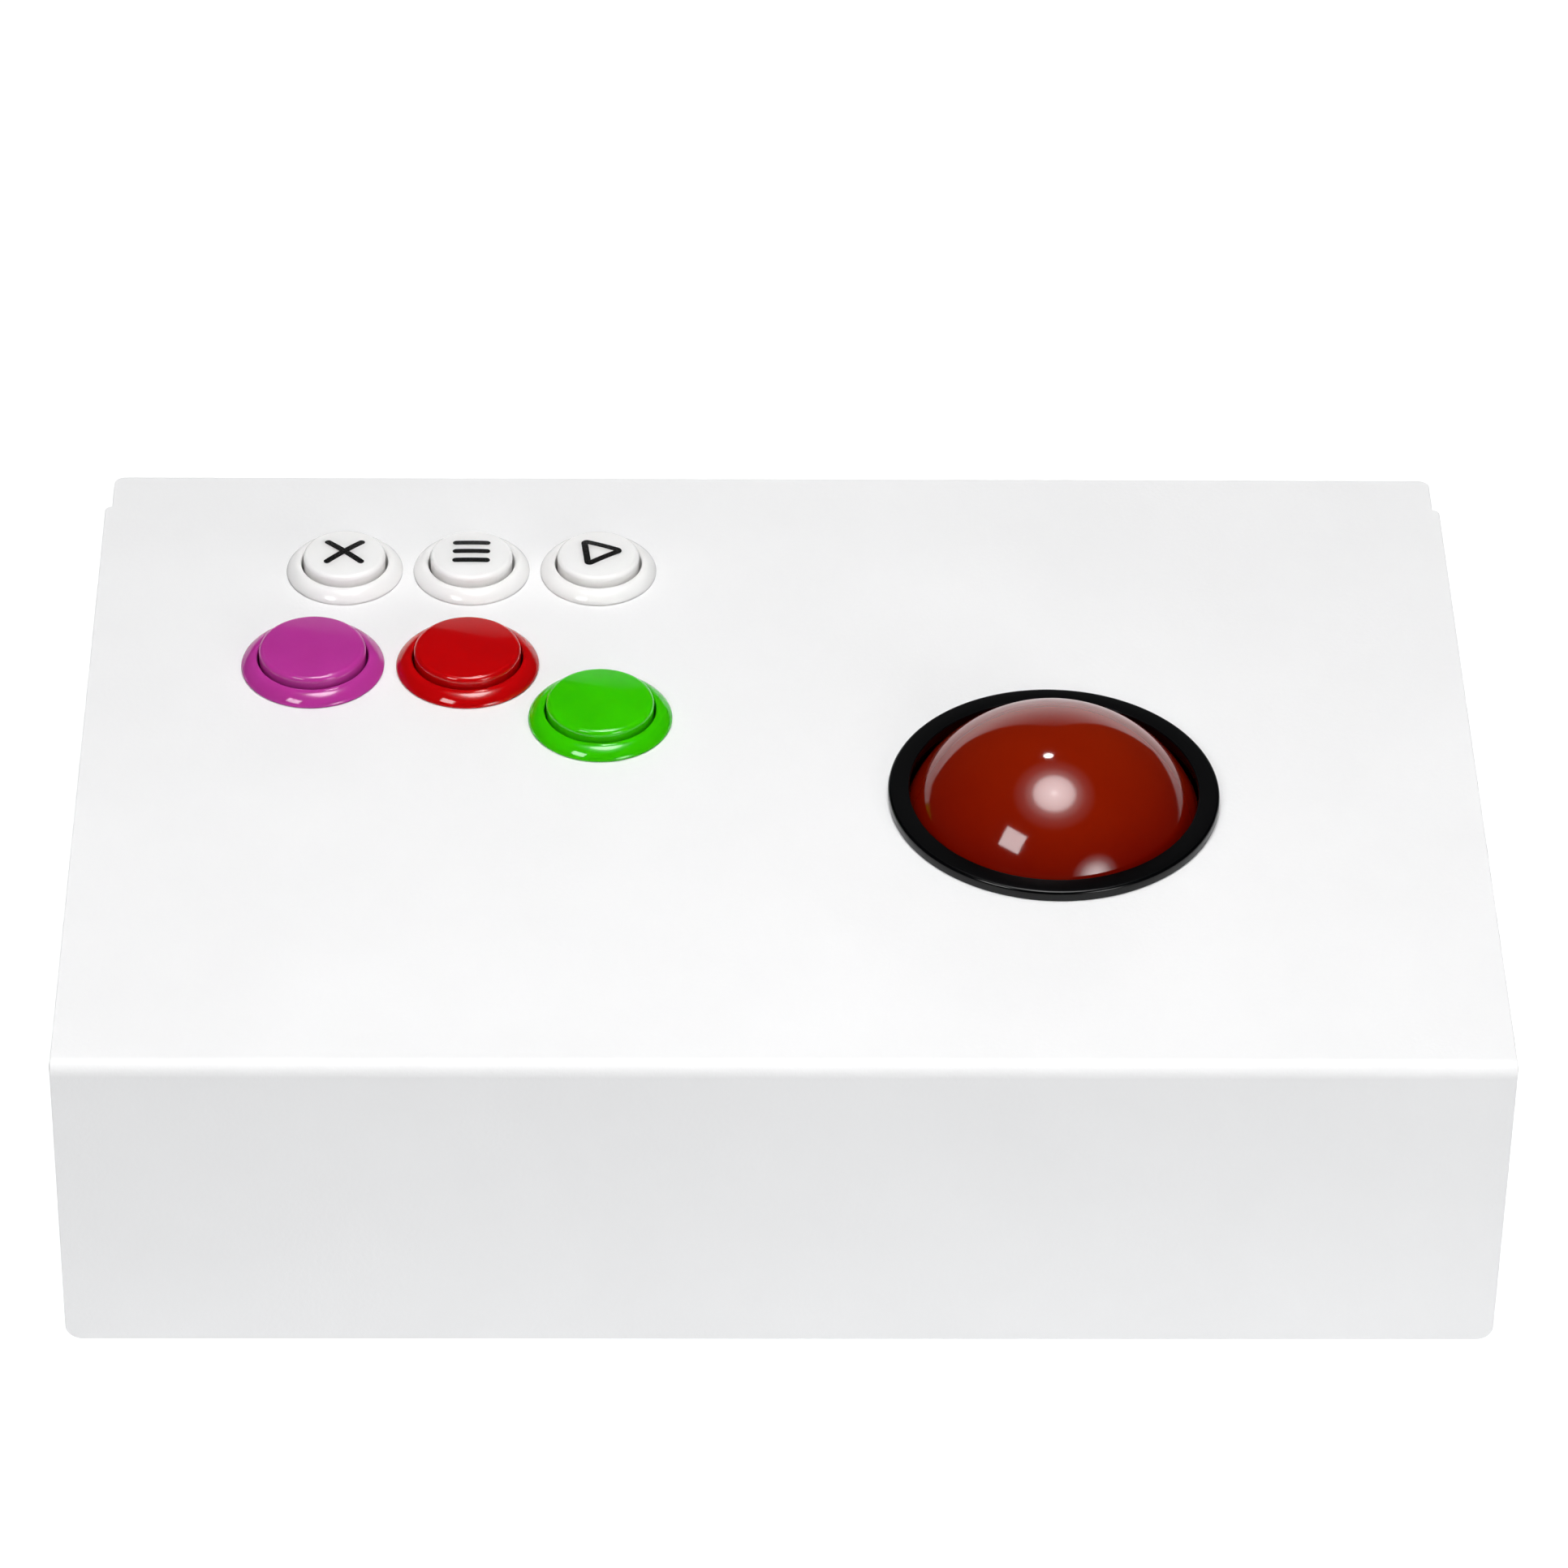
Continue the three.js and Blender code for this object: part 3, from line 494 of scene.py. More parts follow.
def top_cover():
    """The folded sheet: flap, bend, top and rear lip, cut flat first and then bent."""
    half = COVER_HIGH.x
    lip = half - 1.6
    flap = PANEL_TOP - FRONT_BEND - COVER_LOW.z
    bend = FRONT_BEND * pi / 2

    def along(y):
        return flap + bend + y - FRONT - FRONT_BEND

    outline = fillet([(-half, 0, 3.8), (half, 0, 3.8), (half, along(REAR), 1.5), (lip, along(REAR), 0.4),
                      (lip, along(COVER_HIGH.y), 2.5), (-lip, along(COVER_HIGH.y), 2.5),
                      (-lip, along(REAR), 0.4), (-half, along(REAR), 1.5)], steps=8)
    holes = []
    for name in BUTTONS:
        centre = middle(name + "_housing")
        holes.append(circle(centre.x, along(centre.y), button_size(name).hole))
    holes.append(circle(BALL_CENTRE.x, along(BALL_CENTRE.y), COLLAR_HOLE, 160))
    bm = sheet_bmesh(outline, holes, SHEET)
    fold(bm, flap, FRONT_BEND, bulge=0.3, half_width=half)
    move(bm, 0, FRONT, COVER_LOW.z)
    for x, y in STUDS:
        add_turned(bm, [(0, -11), (1.7, -11), (2, -10.6), (2, 0.3), (0, 0.3)], 24,
                   (BALL_CENTRE.x + x, BALL_CENTRE.y + y, PANEL_TOP - SHEET))
    finish_flat("top_cover", "sheet", bm, "powder_coat")


def wall_bmesh(width0, width1, inset, height, holes=(), front_radius=0.5):
    """A wall with a folded foot, lying as `fold` leaves it: the foot runs up +z and the wall along +y."""
    foot = FLANGE - WALL_BEND
    shoulder = foot + WALL_BEND * pi / 2
    top = shoulder + height - WALL_BEND
    small = 0.5
    outline = fillet([(width0 + inset, 0, small), (width1 - inset, 0, small),
                      (width1 - inset, shoulder, small), (width1, shoulder, small), (width1, top, small),
                      (width0, top, front_radius), (width0, shoulder, small),
                      (width0 + inset, shoulder, small)])
    bm = sheet_bmesh(outline, list(holes), SHEET)
    fold(bm, foot, WALL_BEND, steps=8)
    return bm


def side_walls():
    """Each wall's width runs along Y, and its foot folds in over the base plate. A nut is pressed into
    the flange over each foot."""
    for side, name in ((-1, "left_side_wall"), (1, "right_side_wall")):
        low, high = box(name)
        screws = [p for p in FOOT_SCREWS if p.x * side > 0]
        bores = [circle(p.y, abs(p.x) - WALL_FACE + FLANGE, 2.35, 32) for p in screws]
        bm = wall_bmesh(low.y, high.y, 8, high.z - low.z, bores, FRONT_BEND)
        turned = Matrix(((0, 0, side), (1, 0, 0), (0, 1, 0))).to_4x4()
        transform(bm, Matrix.Translation((side * (WALL_FACE - FLANGE), 0, low.z)) @ turned)
        for p in screws:
            nut = fillet([(2.05, 0.2), (3.6, 0.2), (3.6, 5.9, 0.3), (2.05, 5.9, 0.3)], 3)
            add_turned(bm, nut, 48, (p.x, p.y, low.z))
        finish_flat(name, "sheet", bm, "powder_coat")


def rear_wall():
    """The rear wall, with an opening for the cable socket."""
    shoulder = FLANGE - WALL_BEND + WALL_BEND * pi / 2
    base = shoulder - REAR_LOW.z - WALL_BEND
    opening = rounded_rectangle(SOCKET_LOW.x - GAP, SOCKET_HIGH.x + GAP, base + SOCKET_LOW.z - GAP,
                                base + SOCKET_HIGH.z + GAP, 0.5)
    bm = wall_bmesh(REAR_LOW.x, REAR_HIGH.x, 15.2, REAR_HIGH.z - REAR_LOW.z, [opening])
    transform(bm, upright(REAR - FLANGE, REAR_LOW.z))
    finish_flat("rear_wall", "sheet", bm, "powder_coat")


def base_plate():
    """The flat bottom with its four screw holes and the standoffs under the controller board."""
    top = BASE_LOW.z + SHEET
    outline = rounded_rectangle(BASE_LOW.x, BASE_HIGH.x, BASE_LOW.y, BASE_HIGH.y, 2)
    holes = [circle(p.x, p.y, 2.4, 32) for p in FOOT_SCREWS]
    bm = sheet_bmesh(outline, holes, SHEET)
    move(bm, 0, 0, top)
    standoff = fillet([(1.3, 0), (3, 0), (3, BASE_HIGH.z - top, 0.3), (1.3, BASE_HIGH.z - top, 0.3)], 3)
    for x, y in BOARD_HOLES:
        add_turned(bm, standoff, 32, (x, y, top - 0.1))
    finish_flat("base_plate", "sheet", bm, "powder_coat")


def cross_outline(arm, half):
    """A cross-head recess: four arms round the middle."""
    points = []
    for i in range(4):
        turn = Matrix.Rotation(i * pi / 2, 2)
        for x, y in ((half, -half), (arm, -half), (arm, half)):
            points.append(turn @ Vector((x, y)))
    return fillet([(p.x, p.y, half / 4) for p in points], 3)


def screw(node, head, height, shank):
    """A pan-head screw with a cross recess and a threaded shank. Its head looks down."""
    low, high, centre = span(node)
    length = high.z - low.z
    bm = sheet_bmesh(circle(0, 0, head, 48), [cross_outline(head * 0.58, head * 0.14)], height * 0.7,
                     edge=height * 0.3)
    rows = [(0, -height * 0.6), (head - height * 0.3, -height * 0.6), (head, -height * 0.75),
            (head, -height), (shank * 0.98, -height)]
    depth = -height
    pitch = shank * 0.4
    while depth > -length + pitch:
        rows += [(shank * 0.84, depth - pitch * 0.45), (shank * 0.99, depth - pitch * 0.9)]
        depth -= pitch
    rows += [(shank * 0.7, -length), (0, -length)]
    add_turned(bm, rows, 48)
    transform(bm, Matrix.Rotation(pi, 4, "X"))
    move(bm, centre.x, centre.y, low.z)
    finish_node(node, "steel", bm, "fastener_steel")


def feet():
    for corner in CORNERS:
        low, high, centre = span(corner + "_foot")
        outer, top = (high.x - low.x) / 2, high.z
        profile = fillet([(2.4, 2.9, 0.2), (4.3, 2.9, 0.3), (4.3, 0, 0.4), (outer - 0.6, 0, 0.7),
                          (outer, top - 0.8, 2), (outer, top, 0.2), (2.4, top, 0.2)], 5)
        bm = add_turned(bmesh.new(), profile, 96, (centre.x, centre.y, 0))
        finish_node(corner + "_foot", "rubber", bm, "foot_rubber")
        screw(corner + "_foot_screw", 3.7, 2.2, 2)


# --- push buttons

def arc(cx, cy, rx, ry, start, end, steps):
    """Points along an ellipse, between two angles in degrees."""
    angles = [radians(start + (end - start) * i / steps) for i in range(steps + 1)]
    return [Vector((cx + rx * cos(a), cy + ry * sin(a))) for a in angles]


# Hole, bezel, bore and plunger are radii in the plan, and edge rounds the plunger. Rim is its height over
# the panel, and dome its rise over the rim. Shoulder, slope and outer are the bezel's radii, from its lip
# outwards.
LARGE_BUTTON = SimpleNamespace(hole=15, bezel=16.65, bore=12.9, plunger=12.45, edge=1.3, rim=5.6,
                               dome=0.75, shoulder=2.8, slope=6.8, outer=2.6)
SMALL_BUTTON = SimpleNamespace(hole=12, bezel=13.8, bore=10.25, plunger=9.7, edge=1.1, rim=5.3, dome=0.45,
                               shoulder=2.4, slope=6.4, outer=2.6)


def button_size(name):
    low, high = box(name + "_plunger")
    return LARGE_BUTTON if high.x - low.x > 22 else SMALL_BUTTON


def dome_height(distance, size):
    """Height of a plunger's face above the panel at a distance from its middle."""
    return size.rim + size.dome * (1 - (distance / (size.plunger - size.edge)) ** 2)


def slope_down(start, stretches, steps=8):
    """Points on a convex outline that turns downwards. Each stretch is an arc: its first and last tilt, in
    degrees, and its radius."""
    x, z = start
    points = [(x, z)]
    for tilt0, tilt1, radius in stretches:
        for k in range(steps):
            a, b = (radians(tilt0 + (tilt1 - tilt0) * i / steps) for i in (k, k + 1))
            x += radius * (sin(b) - sin(a))
            z += radius * (cos(b) - cos(a))
            points.append((x, z))
    return points


def button_housing(name):
    """One moulding: a bezel over the panel, a barrel with two snap tabs between ribs, and two cheeks that
    hold the switch."""
    size = button_size(name)
    centre = middle(name + "_housing")
    body = size.hole - 0.4
    profile = [(2.6, -15), (2.6, -17), (body - 0.5, -17), (body, -16.5), (body, 0.1),
               (size.bezel - 0.15, 0.1)]
    stretches = [(5, 34, size.shoulder), (34, 52, size.slope), (52, 66, size.outer), (66, 88, 0.5)]
    profile += slope_down((size.bore + 0.5, 3), stretches)[::-1]
    profile += arc(size.bore + 0.45, 2.55, 0.45, 0.45, 100, 180, 8)
    profile += [(size.bore, 1.8), (size.bore, -14.7), (size.bore - 0.3, -15)]
    bm = add_turned(bmesh.new(), profile, 160)
    for side in (-1, 1):
        x = sorted((side * (body - 1), side * (size.hole + 0.85)))
        add_block(bm, (x[0], -3, -6.3), (x[1], 3, -1.8), 0.4, 3)
        for rib in (-9, 9):
            add_block(bm, (side * (body - 0.4) - 0.3, rib / 2 - 0.5, -16),
                      (side * (body - 0.4) + 0.3, rib / 2 + 0.5, -2), 0.15, 2)
        y = sorted((side * 3.5, side * 5.1))
        add_block(bm, (-7, y[0], -25), (7, y[1], -16.5), 0.3, 3)
    move(bm, centre.x, centre.y, PANEL_TOP)
    finish_mesh(name + "_bezel", bm, BUTTONS[name], [name + "_housing"], smooth_angle=40)


def press_body(name):
    return name.replace("_button", "_press")


def button_plunger(name):
    """A hollow cap with a gently domed face, a rounded rim and a stem that reaches into the switch."""
    size = button_size(name)
    centre = middle(name + "_plunger")
    radius = size.plunger
    flat = radius - size.edge
    inner = radius - 1.2
    profile = [(0, -16.8), (1.2, -16.8), (1.5, -16.5), (1.5, 2.7), (2.0, 3.2), (inner - 0.5, 3.2),
               (inner, 2.7), (inner, -7.9), (inner + 0.1, -8), (radius - 0.2, -8), (radius, -7.8),
               (radius, 0)]
    profile += arc(flat, size.rim - size.edge, size.edge, size.edge, 0, 80, 14)
    profile += [(flat * k / 24, dome_height(flat * k / 24, size)) for k in range(24, -1, -1)]
    bm = add_turned(bmesh.new(), profile, 160, (centre.x, centre.y, PANEL_TOP))
    finish_mesh(name + "_cap", bm, BUTTONS[name], [name + "_plunger"], press_body(name), 50)


def button_switch(name):
    """A snap-action switch: its case with two mounting eyes, and its terminals as a separate piece."""
    low, high, centre = span(name + "_switch")
    bottom = low.z + 6.5
    bm = bmesh.new()
    sides = (centre.x - 6.5, centre.x + 6.5)
    eyes = [circle(x, bottom + 2.6, 1.2, 24) for x in sides]
    outline = rounded_rectangle(low.x, high.x, bottom, high.z, 0.6)
    well = 1.8
    left, right, well_floor = centre.x - well, centre.x + well, bottom + 6.5
    notched = fillet([(low.x, bottom, 0.6), (high.x, bottom, 0.6), (high.x, high.z, 0.6),
                      (right, high.z, 0.2), (right, well_floor, 0.2), (left, well_floor, 0.2),
                      (left, high.z, 0.2), (low.x, high.z, 0.6)], 3)
    for loop, y0, y1 in ((outline, low.y, centre.y - well),
                         (notched, centre.y - well - 0.01, centre.y + well + 0.01),
                         (outline, centre.y + well, high.y)):
        add_sheet(bm, upright(y0, facing=-1), loop, eyes, y1 - y0, 0.12, 2)
    finish_node(name + "_switch", "case", bm, "switch_plastic")
    bm = bmesh.new()
    blade_top = bottom + 0.5
    for x in sides:
        blade = fillet([(x - 1.4, low.z, 0.5), (x + 1.4, low.z, 0.5), (x + 1.4, blade_top),
                        (x - 1.4, blade_top)], 4)
        eye = circle(x, low.z + 2, 0.6, 24)
        add_sheet(bm, upright(centre.y - 0.3, facing=-1), blade, [eye], 0.6, 0.1, 2)
    finish_mesh(name + "_switch_terminals", bm, "fastener_steel")


# Icons lie in the plunger's own x and y, on its dome
ICON_LIFT = 0.05


def add_stroke(bm, path, width, size, closed=False):
    """A raised line that follows a path over the dome. An open line has round ends."""
    half = width / 2
    if closed:
        rows = [(p, step * half) for p, step in zip(path, inset_directions(path))]
    else:
        start, end = path
        along = (end - start).normalized()
        across = Vector((-along.y, along.x)) * half
        cap = [(along * half * cos(a), across * sin(a))
               for a in (radians(angle) for angle in range(10, 91, 10))]
        rows = [(start - out, side) for out, side in cap]
        rows += [(start.lerp(end, i / 14), across) for i in range(1, 14)]
        rows += [(end + out, side) for out, side in reversed(cap)]
    loops = []
    for p, side in rows:
        spots = [(p + side * (k / 3 - 1), ICON_LIFT) for k in range(7)]
        spots += [(spot, -lift) for spot, lift in reversed(spots)]
        loops.append([bm.verts.new((spot.x, spot.y, dome_height(spot.length, size) + lift))
                      for spot, lift in spots])
    if closed:
        bridge(bm, loops + loops[:1])
    else:
        add_tube(bm, loops)


def icon(name, strokes, width, closed=False):
    """One printed sign on a button."""
    centre = middle(name + "_plunger")
    bm = bmesh.new()
    for path in strokes:
        add_stroke(bm, [Vector(p) for p in path], width, button_size(name), closed)
    move(bm, centre.x, centre.y, PANEL_TOP)
    finish_mesh(name + "_icon", bm, "ring_plastic", body=press_body(name), material="icon_ink")


def icons():
    """A cross, three bars and a triangle that points right."""
    x, y, up = 3.95, 3.8, 0.25
    icon("cancel_button", [[(-x, up - y), (x, up + y)], [(-x, up + y), (x, up - y)]], 1.6)
    x, pitch = 3.65, 3.45
    up = 0.45
    lines = [[(-x, up + k * pitch), (x, up + k * pitch)] for k in (-1, 0, 1)]
    icon("menu_button", lines, 1.6)
    left, right, half, corner = -2.9, 5.3, 4.55, 0.5
    turn = Matrix.Rotation(radians(6), 2)
    triangle = [turn @ Vector(point) for point in ((left, half), (left, -half), (right, 0))]
    triangle = fillet([(x, y + up, corner) for x, y in triangle], 8)
    icon("play_button", [densify(triangle, 0.5)], 1.55, closed=True)


def densify(path, step):
    """Adds points to the long sides of a closed path."""
    dense = []
    for a, b in zip(path, path[1:] + path[:1]):
        count = max(1, round((b - a).length / step))
        dense += [a.lerp(b, i / count) for i in range(count)]
    return dense


# --- trackball

def trackball_ball():
    """A cube projected on the sphere, so that no pole shows in the polish."""
    bm = bmesh.new()
    bmesh.ops.create_cube(bm, size=2)
    bmesh.ops.subdivide_edges(bm, edges=bm.edges[:], cuts=63, use_grid_fill=True)
    for vert in bm.verts:
        warped = Vector([tan(c * pi / 4) for c in vert.co])
        vert.co = BALL_CENTRE + warped.normalized() * BALL_RADIUS
    finish_node("trackball_ball", "polished", bm, "ball_resin", body="ball", smooth_angle=60)


def trackball_ring():
    """The retaining ring: a flange on the panel and a collar with three snap lugs below it."""
    outer = (RING_HIGH.x - RING_LOW.x) / 2
    top = RING_HIGH.z - PANEL_TOP
    opening = 32.9
    profile = fillet([(opening, top, 0.35), (33.35, -0.5, 1), (34.6, -4, 0.2), (35.9, -4, 0.3),
                      (35.9, 0.1), (outer, 0.1, 0.1), (outer, top, 0.85)], 8)
    bm = add_turned(bmesh.new(), profile, 256)
    tip, root = 36.95, 35.4
    for first in (78, 198, 318):
        last = first + 24
        lug = arc(0, 0, tip, tip, first, last, 12) + arc(0, 0, root, root, last, first, 12)
        add_sheet(bm, Matrix.Translation((0, 0, -1.8)), lug, [], 2.2, 0.2, 3)
    move(bm, BALL_CENTRE.x, BALL_CENTRE.y, PANEL_TOP)
    finish_node("trackball_ring", "moulding", bm, "ring_plastic", smooth_angle=40)


# --- inside the trackball's housing

# Each roller's azimuth from the ball, its shaft's heading, the starts of its bearings, and its body
ROLLERS = {"x_roller": (180, -90, (-21.5, 22), "x_shaft"), "y_roller": (90, 0, (-21.5, 22), "y_shaft"),
           "idler_roller": (-45, 45, (-12, 8), "idler_shaft")}
BEARING_WIDTH = 4
ROLLER_OFFSET = BALL_CENTRE.x - middle("x_roller").x
ROLLER_DROP = BALL_CENTRE.z - middle("x_roller").z
TRAY_LOW, TRAY_HIGH = box("trackball_tray")
SHELL_LOW, SHELL_HIGH = box("trackball_shell")
UNIT_HALF = (TRAY_HIGH.x - TRAY_LOW.x) / 2
UNIT_WALL = 2.5
UNIT_CORNER = 10
BOSSES = [(x, y) for x in (-38, 38) for y in (-38, 38)]


def unit_outline(inset=0):
    return rounded_square(UNIT_HALF - inset, UNIT_CORNER - inset, 10)


def roller_frame(roller):
    """From the ball's centre to the middle of a roller, with x along its shaft."""
    azimuth, heading = (radians(angle) for angle in ROLLERS[roller][:2])
    place = Vector((ROLLER_OFFSET * cos(azimuth), ROLLER_OFFSET * sin(azimuth), -ROLLER_DROP))
    return Matrix.Translation(place) @ Matrix.Rotation(heading, 4, "Z")


def shaft_matrix(roller):
    """Local z runs along the shaft, from the point that the ball touches."""
    return Matrix.Translation(BALL_CENTRE) @ roller_frame(roller) @ Matrix.Rotation(pi / 2, 4, "Y")


def rollers():
    """Ground rollers with centre-drilled ends, on shielded ball bearings."""
    for roller, (_, _, starts, body) in ROLLERS.items():
        ends = (-13, -6, 6, 13) if roller == "idler_roller" else (-22.5, -15, 20, 34)
        half = [(0, 0, 0.9), (0.8, 0, 0), (2.6, 0, 0), (3, 0, 0.4), (3, 1, -0.4), (2.8, 1, -0.3),
                (2.8, 1, 0), (4.9, 1, 0), (5.3, 1, 0.4)]
        profile = [(radius, ends[i] + height) for radius, i, height in half]
        profile += [(radius, ends[3 - i] - height) for radius, i, height in reversed(half)]
        bm = add_turned(bmesh.new(), profile, 64)
        transform(bm, shaft_matrix(roller))
        finish_node(roller, "steel", bm, "roller_steel", body=body)
        half = [(3.05, 0.15), (3.2, 0), (3.95, 0), (4, 0.1), (4, 0.3), (5.05, 0.3), (5.1, 0.1), (5.2, 0),
                (5.8, 0), (6, 0.2)]
        profile = half + [(radius, BEARING_WIDTH - height) for radius, height in reversed(half)]
        for i, start in enumerate(starts):
            bm = add_turned(bmesh.new(), profile, 64, (0, 0, start))
            transform(bm, shaft_matrix(roller))
            finish_node(f"{roller}_bearing_{i + 1}", "race", bm, "bearing_steel", smooth_angle=30)


def encoder_wheel(roller):
    """A disc on a hub, with a ring of narrow windows."""
    count, windows = 20, []
    for i in range(count):
        turn = Matrix.Rotation(tau * i / count, 2)
        corners = [turn @ Vector(p) for p in [(6.6, -0.5), (9.6, -0.7), (9.6, 0.7), (6.6, 0.5)]]
        windows.append(fillet([(p.x, p.y, 0.2) for p in corners], 3))
    bm = sheet_bmesh(circle(0, 0, 10.5), windows + [circle(0, 0, 3.05, 48)], 2, 0.15, 2)
    move(bm, 0, 0, 33)
    hub = [(3.05, 29.6), (3.15, 29.5), (4.7, 29.5), (5, 29.8), (5, 31.1), (3.05, 31.1)]
    add_turned(bm, hub, 64)
    transform(bm, shaft_matrix(roller))
    finish_node(roller[0] + "_encoder_wheel", "disc", bm, "wheel_plastic", body=ROLLERS[roller][3])


def sensor_board(roller):
    """A small board that stands in the tray, with a forked light gate round the wheel's rim."""
    azimuth, heading = (radians(angle) for angle in ROLLERS[roller][:2])
    place = Matrix(((cos(azimuth), cos(heading), 0, 0), (sin(azimuth), sin(heading), 0, 0), (0, 0, 1, 0),
                    (0, 0, 0, 1)))
    place = Matrix.Translation(BALL_CENTRE) @ place
    node = roller[0] + "_sensor_board"
    bottom = box(node)[0].z - BALL_CENTRE.z
    axle = -ROLLER_DROP
    parts = {"plate": ("circuit_board", [(12.3, 13.9, 28, 42, bottom, -25, 0.1)]),
             "fork": ("switch_plastic", [(13.95, 18.2, 27.5, 36.5, axle - 4, axle + 3.6, 0.4),
                                         (17.5, 25.5, 27.5, 30.4, axle - 3.9, axle + 3.5, 0.4),
                                         (17.5, 25.5, 33.6, 36.5, axle - 3.9, axle + 3.5, 0.4),
                                         (13.95, 16.5, 38, 41, -36, -33, 0.2)]),
             "pins": ("fastener_steel", [(11.5, 12.35, v - 0.3, v + 0.3, z - 0.3, z + 0.3, 0.1)
                                         for v in (29, 35) for z in (axle - 2.5, axle, axle + 2.5)])}
    for part, (slot, blocks) in parts.items():
        bm = bmesh.new()
        for u0, u1, v0, v1, z0, z1, edge in blocks:
            add_block(bm, (u0, v0, z0), (u1, v1, z1), edge)
        transform(bm, place)
        finish_mesh(f"{node}_{part}", bm, slot, [node] if part == "plate" else [])


def trackball_shell():
    """The housing's upper half: a flange under the panel, a square skirt and four screw bosses."""
    top, low = SHELL_HIGH.z - BALL_CENTRE.z, SHELL_LOW.z - BALL_CENTRE.z
    flange = (SHELL_HIGH.x - SHELL_LOW.x) / 2
    thickness = 4.2
    holes = [circle(0, 0, 37.6, 128)] + [circle(x, y, 2.4, 32) for x, y in STUDS]
    bm = sheet_bmesh(rounded_square(flange, 8), holes, thickness, 0.5)
    move(bm, 0, 0, top)
    skirt_top = top - thickness + 0.1
    add_sheet(bm, Matrix.Translation((0, 0, skirt_top)), unit_outline(), [unit_outline(UNIT_WALL)],
              skirt_top - low, 0.4)
    for x, y in BOSSES:
        add_turned(bm, [(1.6, low), (3.3, low), (3.5, low + 0.2), (3.5, skirt_top), (1.6, skirt_top)], 48,
                   (x, y, 0))
    move(bm, *BALL_CENTRE)
    finish_flat("trackball_shell", "moulding", bm, "unit_plastic")


def trackball_tray():
    """The housing's lower half: a tray with slots for the sensor boards and a saddle for each bearing."""
    top, low = TRAY_HIGH.z - BALL_CENTRE.z, TRAY_LOW.z - BALL_CENTRE.z
    inner = UNIT_HALF - UNIT_WALL
    floor_top = low + UNIT_WALL
    bm = sheet_bmesh(unit_outline(), [unit_outline(UNIT_WALL)], top - low, 0.4)
    move(bm, 0, 0, top)
    holes = [circle(0, 0, 5, 48)] + [circle(x, y, 1.8, 24) for x, y in BOSSES]
    holes.append(rounded_rectangle(-14.3, -11.9, -42.4, -27.6, 0.4))
    holes.append(rounded_rectangle(27.6, 42.4, 11.9, 14.3, 0.4))
    plan = rounded_square(inner + 0.1, UNIT_CORNER - UNIT_WALL, 10)
    add_sheet(bm, Matrix.Translation((0, 0, floor_top)), plan, holes, UNIT_WALL - 0.05, 0.2)
    half, bore = 8.2, 6.05  # of a saddle, round its bearing
    foot, crest = floor_top - 0.1 + ROLLER_DROP, -0.4
    saddle = [Vector((-half, foot)), Vector((half, foot)), Vector((half, crest))]
    saddle += arc(0, 0, bore, bore, -4, -176, 24) + [Vector((-half, crest))]
    for roller, (_, _, starts, _) in ROLLERS.items():
        for start in starts:
            stand = Matrix(((0, 0, 1, start + BEARING_WIDTH), (1, 0, 0, 0), (0, 1, 0, 0), (0, 0, 0, 1)))
            add_sheet(bm, roller_frame(roller) @ stand, saddle, [], BEARING_WIDTH, 0.2, 2)
    for x, y in BOSSES:
        add_turned(bm, [(1.8, floor_top - 0.1), (3.5, floor_top - 0.1), (3.5, top - 0.2), (3.3, top),
                        (1.8, top)], 48, (x, y, 0))
    move(bm, *BALL_CENTRE)
    finish_flat("trackball_tray", "moulding", bm, "unit_plastic")


def fasteners():
    """The nuts that hold the housing to the panel's studs, and the screws that join its halves."""
    for corner in CORNERS:
        node = corner + "_stud_nut"
        low, high, centre = span(node)
        across = (high.x - low.x) / 2
        hexagon = [Vector((-p.y, p.x)) for p in circle(0, 0, across / cos(pi / 6), 6)]
        bm = sheet_bmesh(densify(hexagon, 0.4), [circle(0, 0, 2.05, 48)], high.z - low.z, 0.1, 2)
        half = (high.z - low.z) / 2
        for vert in bm.verts:
            height = vert.co.z + half
            beyond = max(0, hypot(vert.co.x, vert.co.y) - across * 0.98)
            limit = half - beyond * tan(pi / 6)
            vert.co.z = max(-limit, min(limit, height)) - half
        move(bm, centre.x, centre.y, high.z)
        finish_node(node, "steel", bm, "fastener_steel", smooth_angle=25)
        screw(corner + "_tray_screw", 2.8, 2, 1.5)


# --- electronics

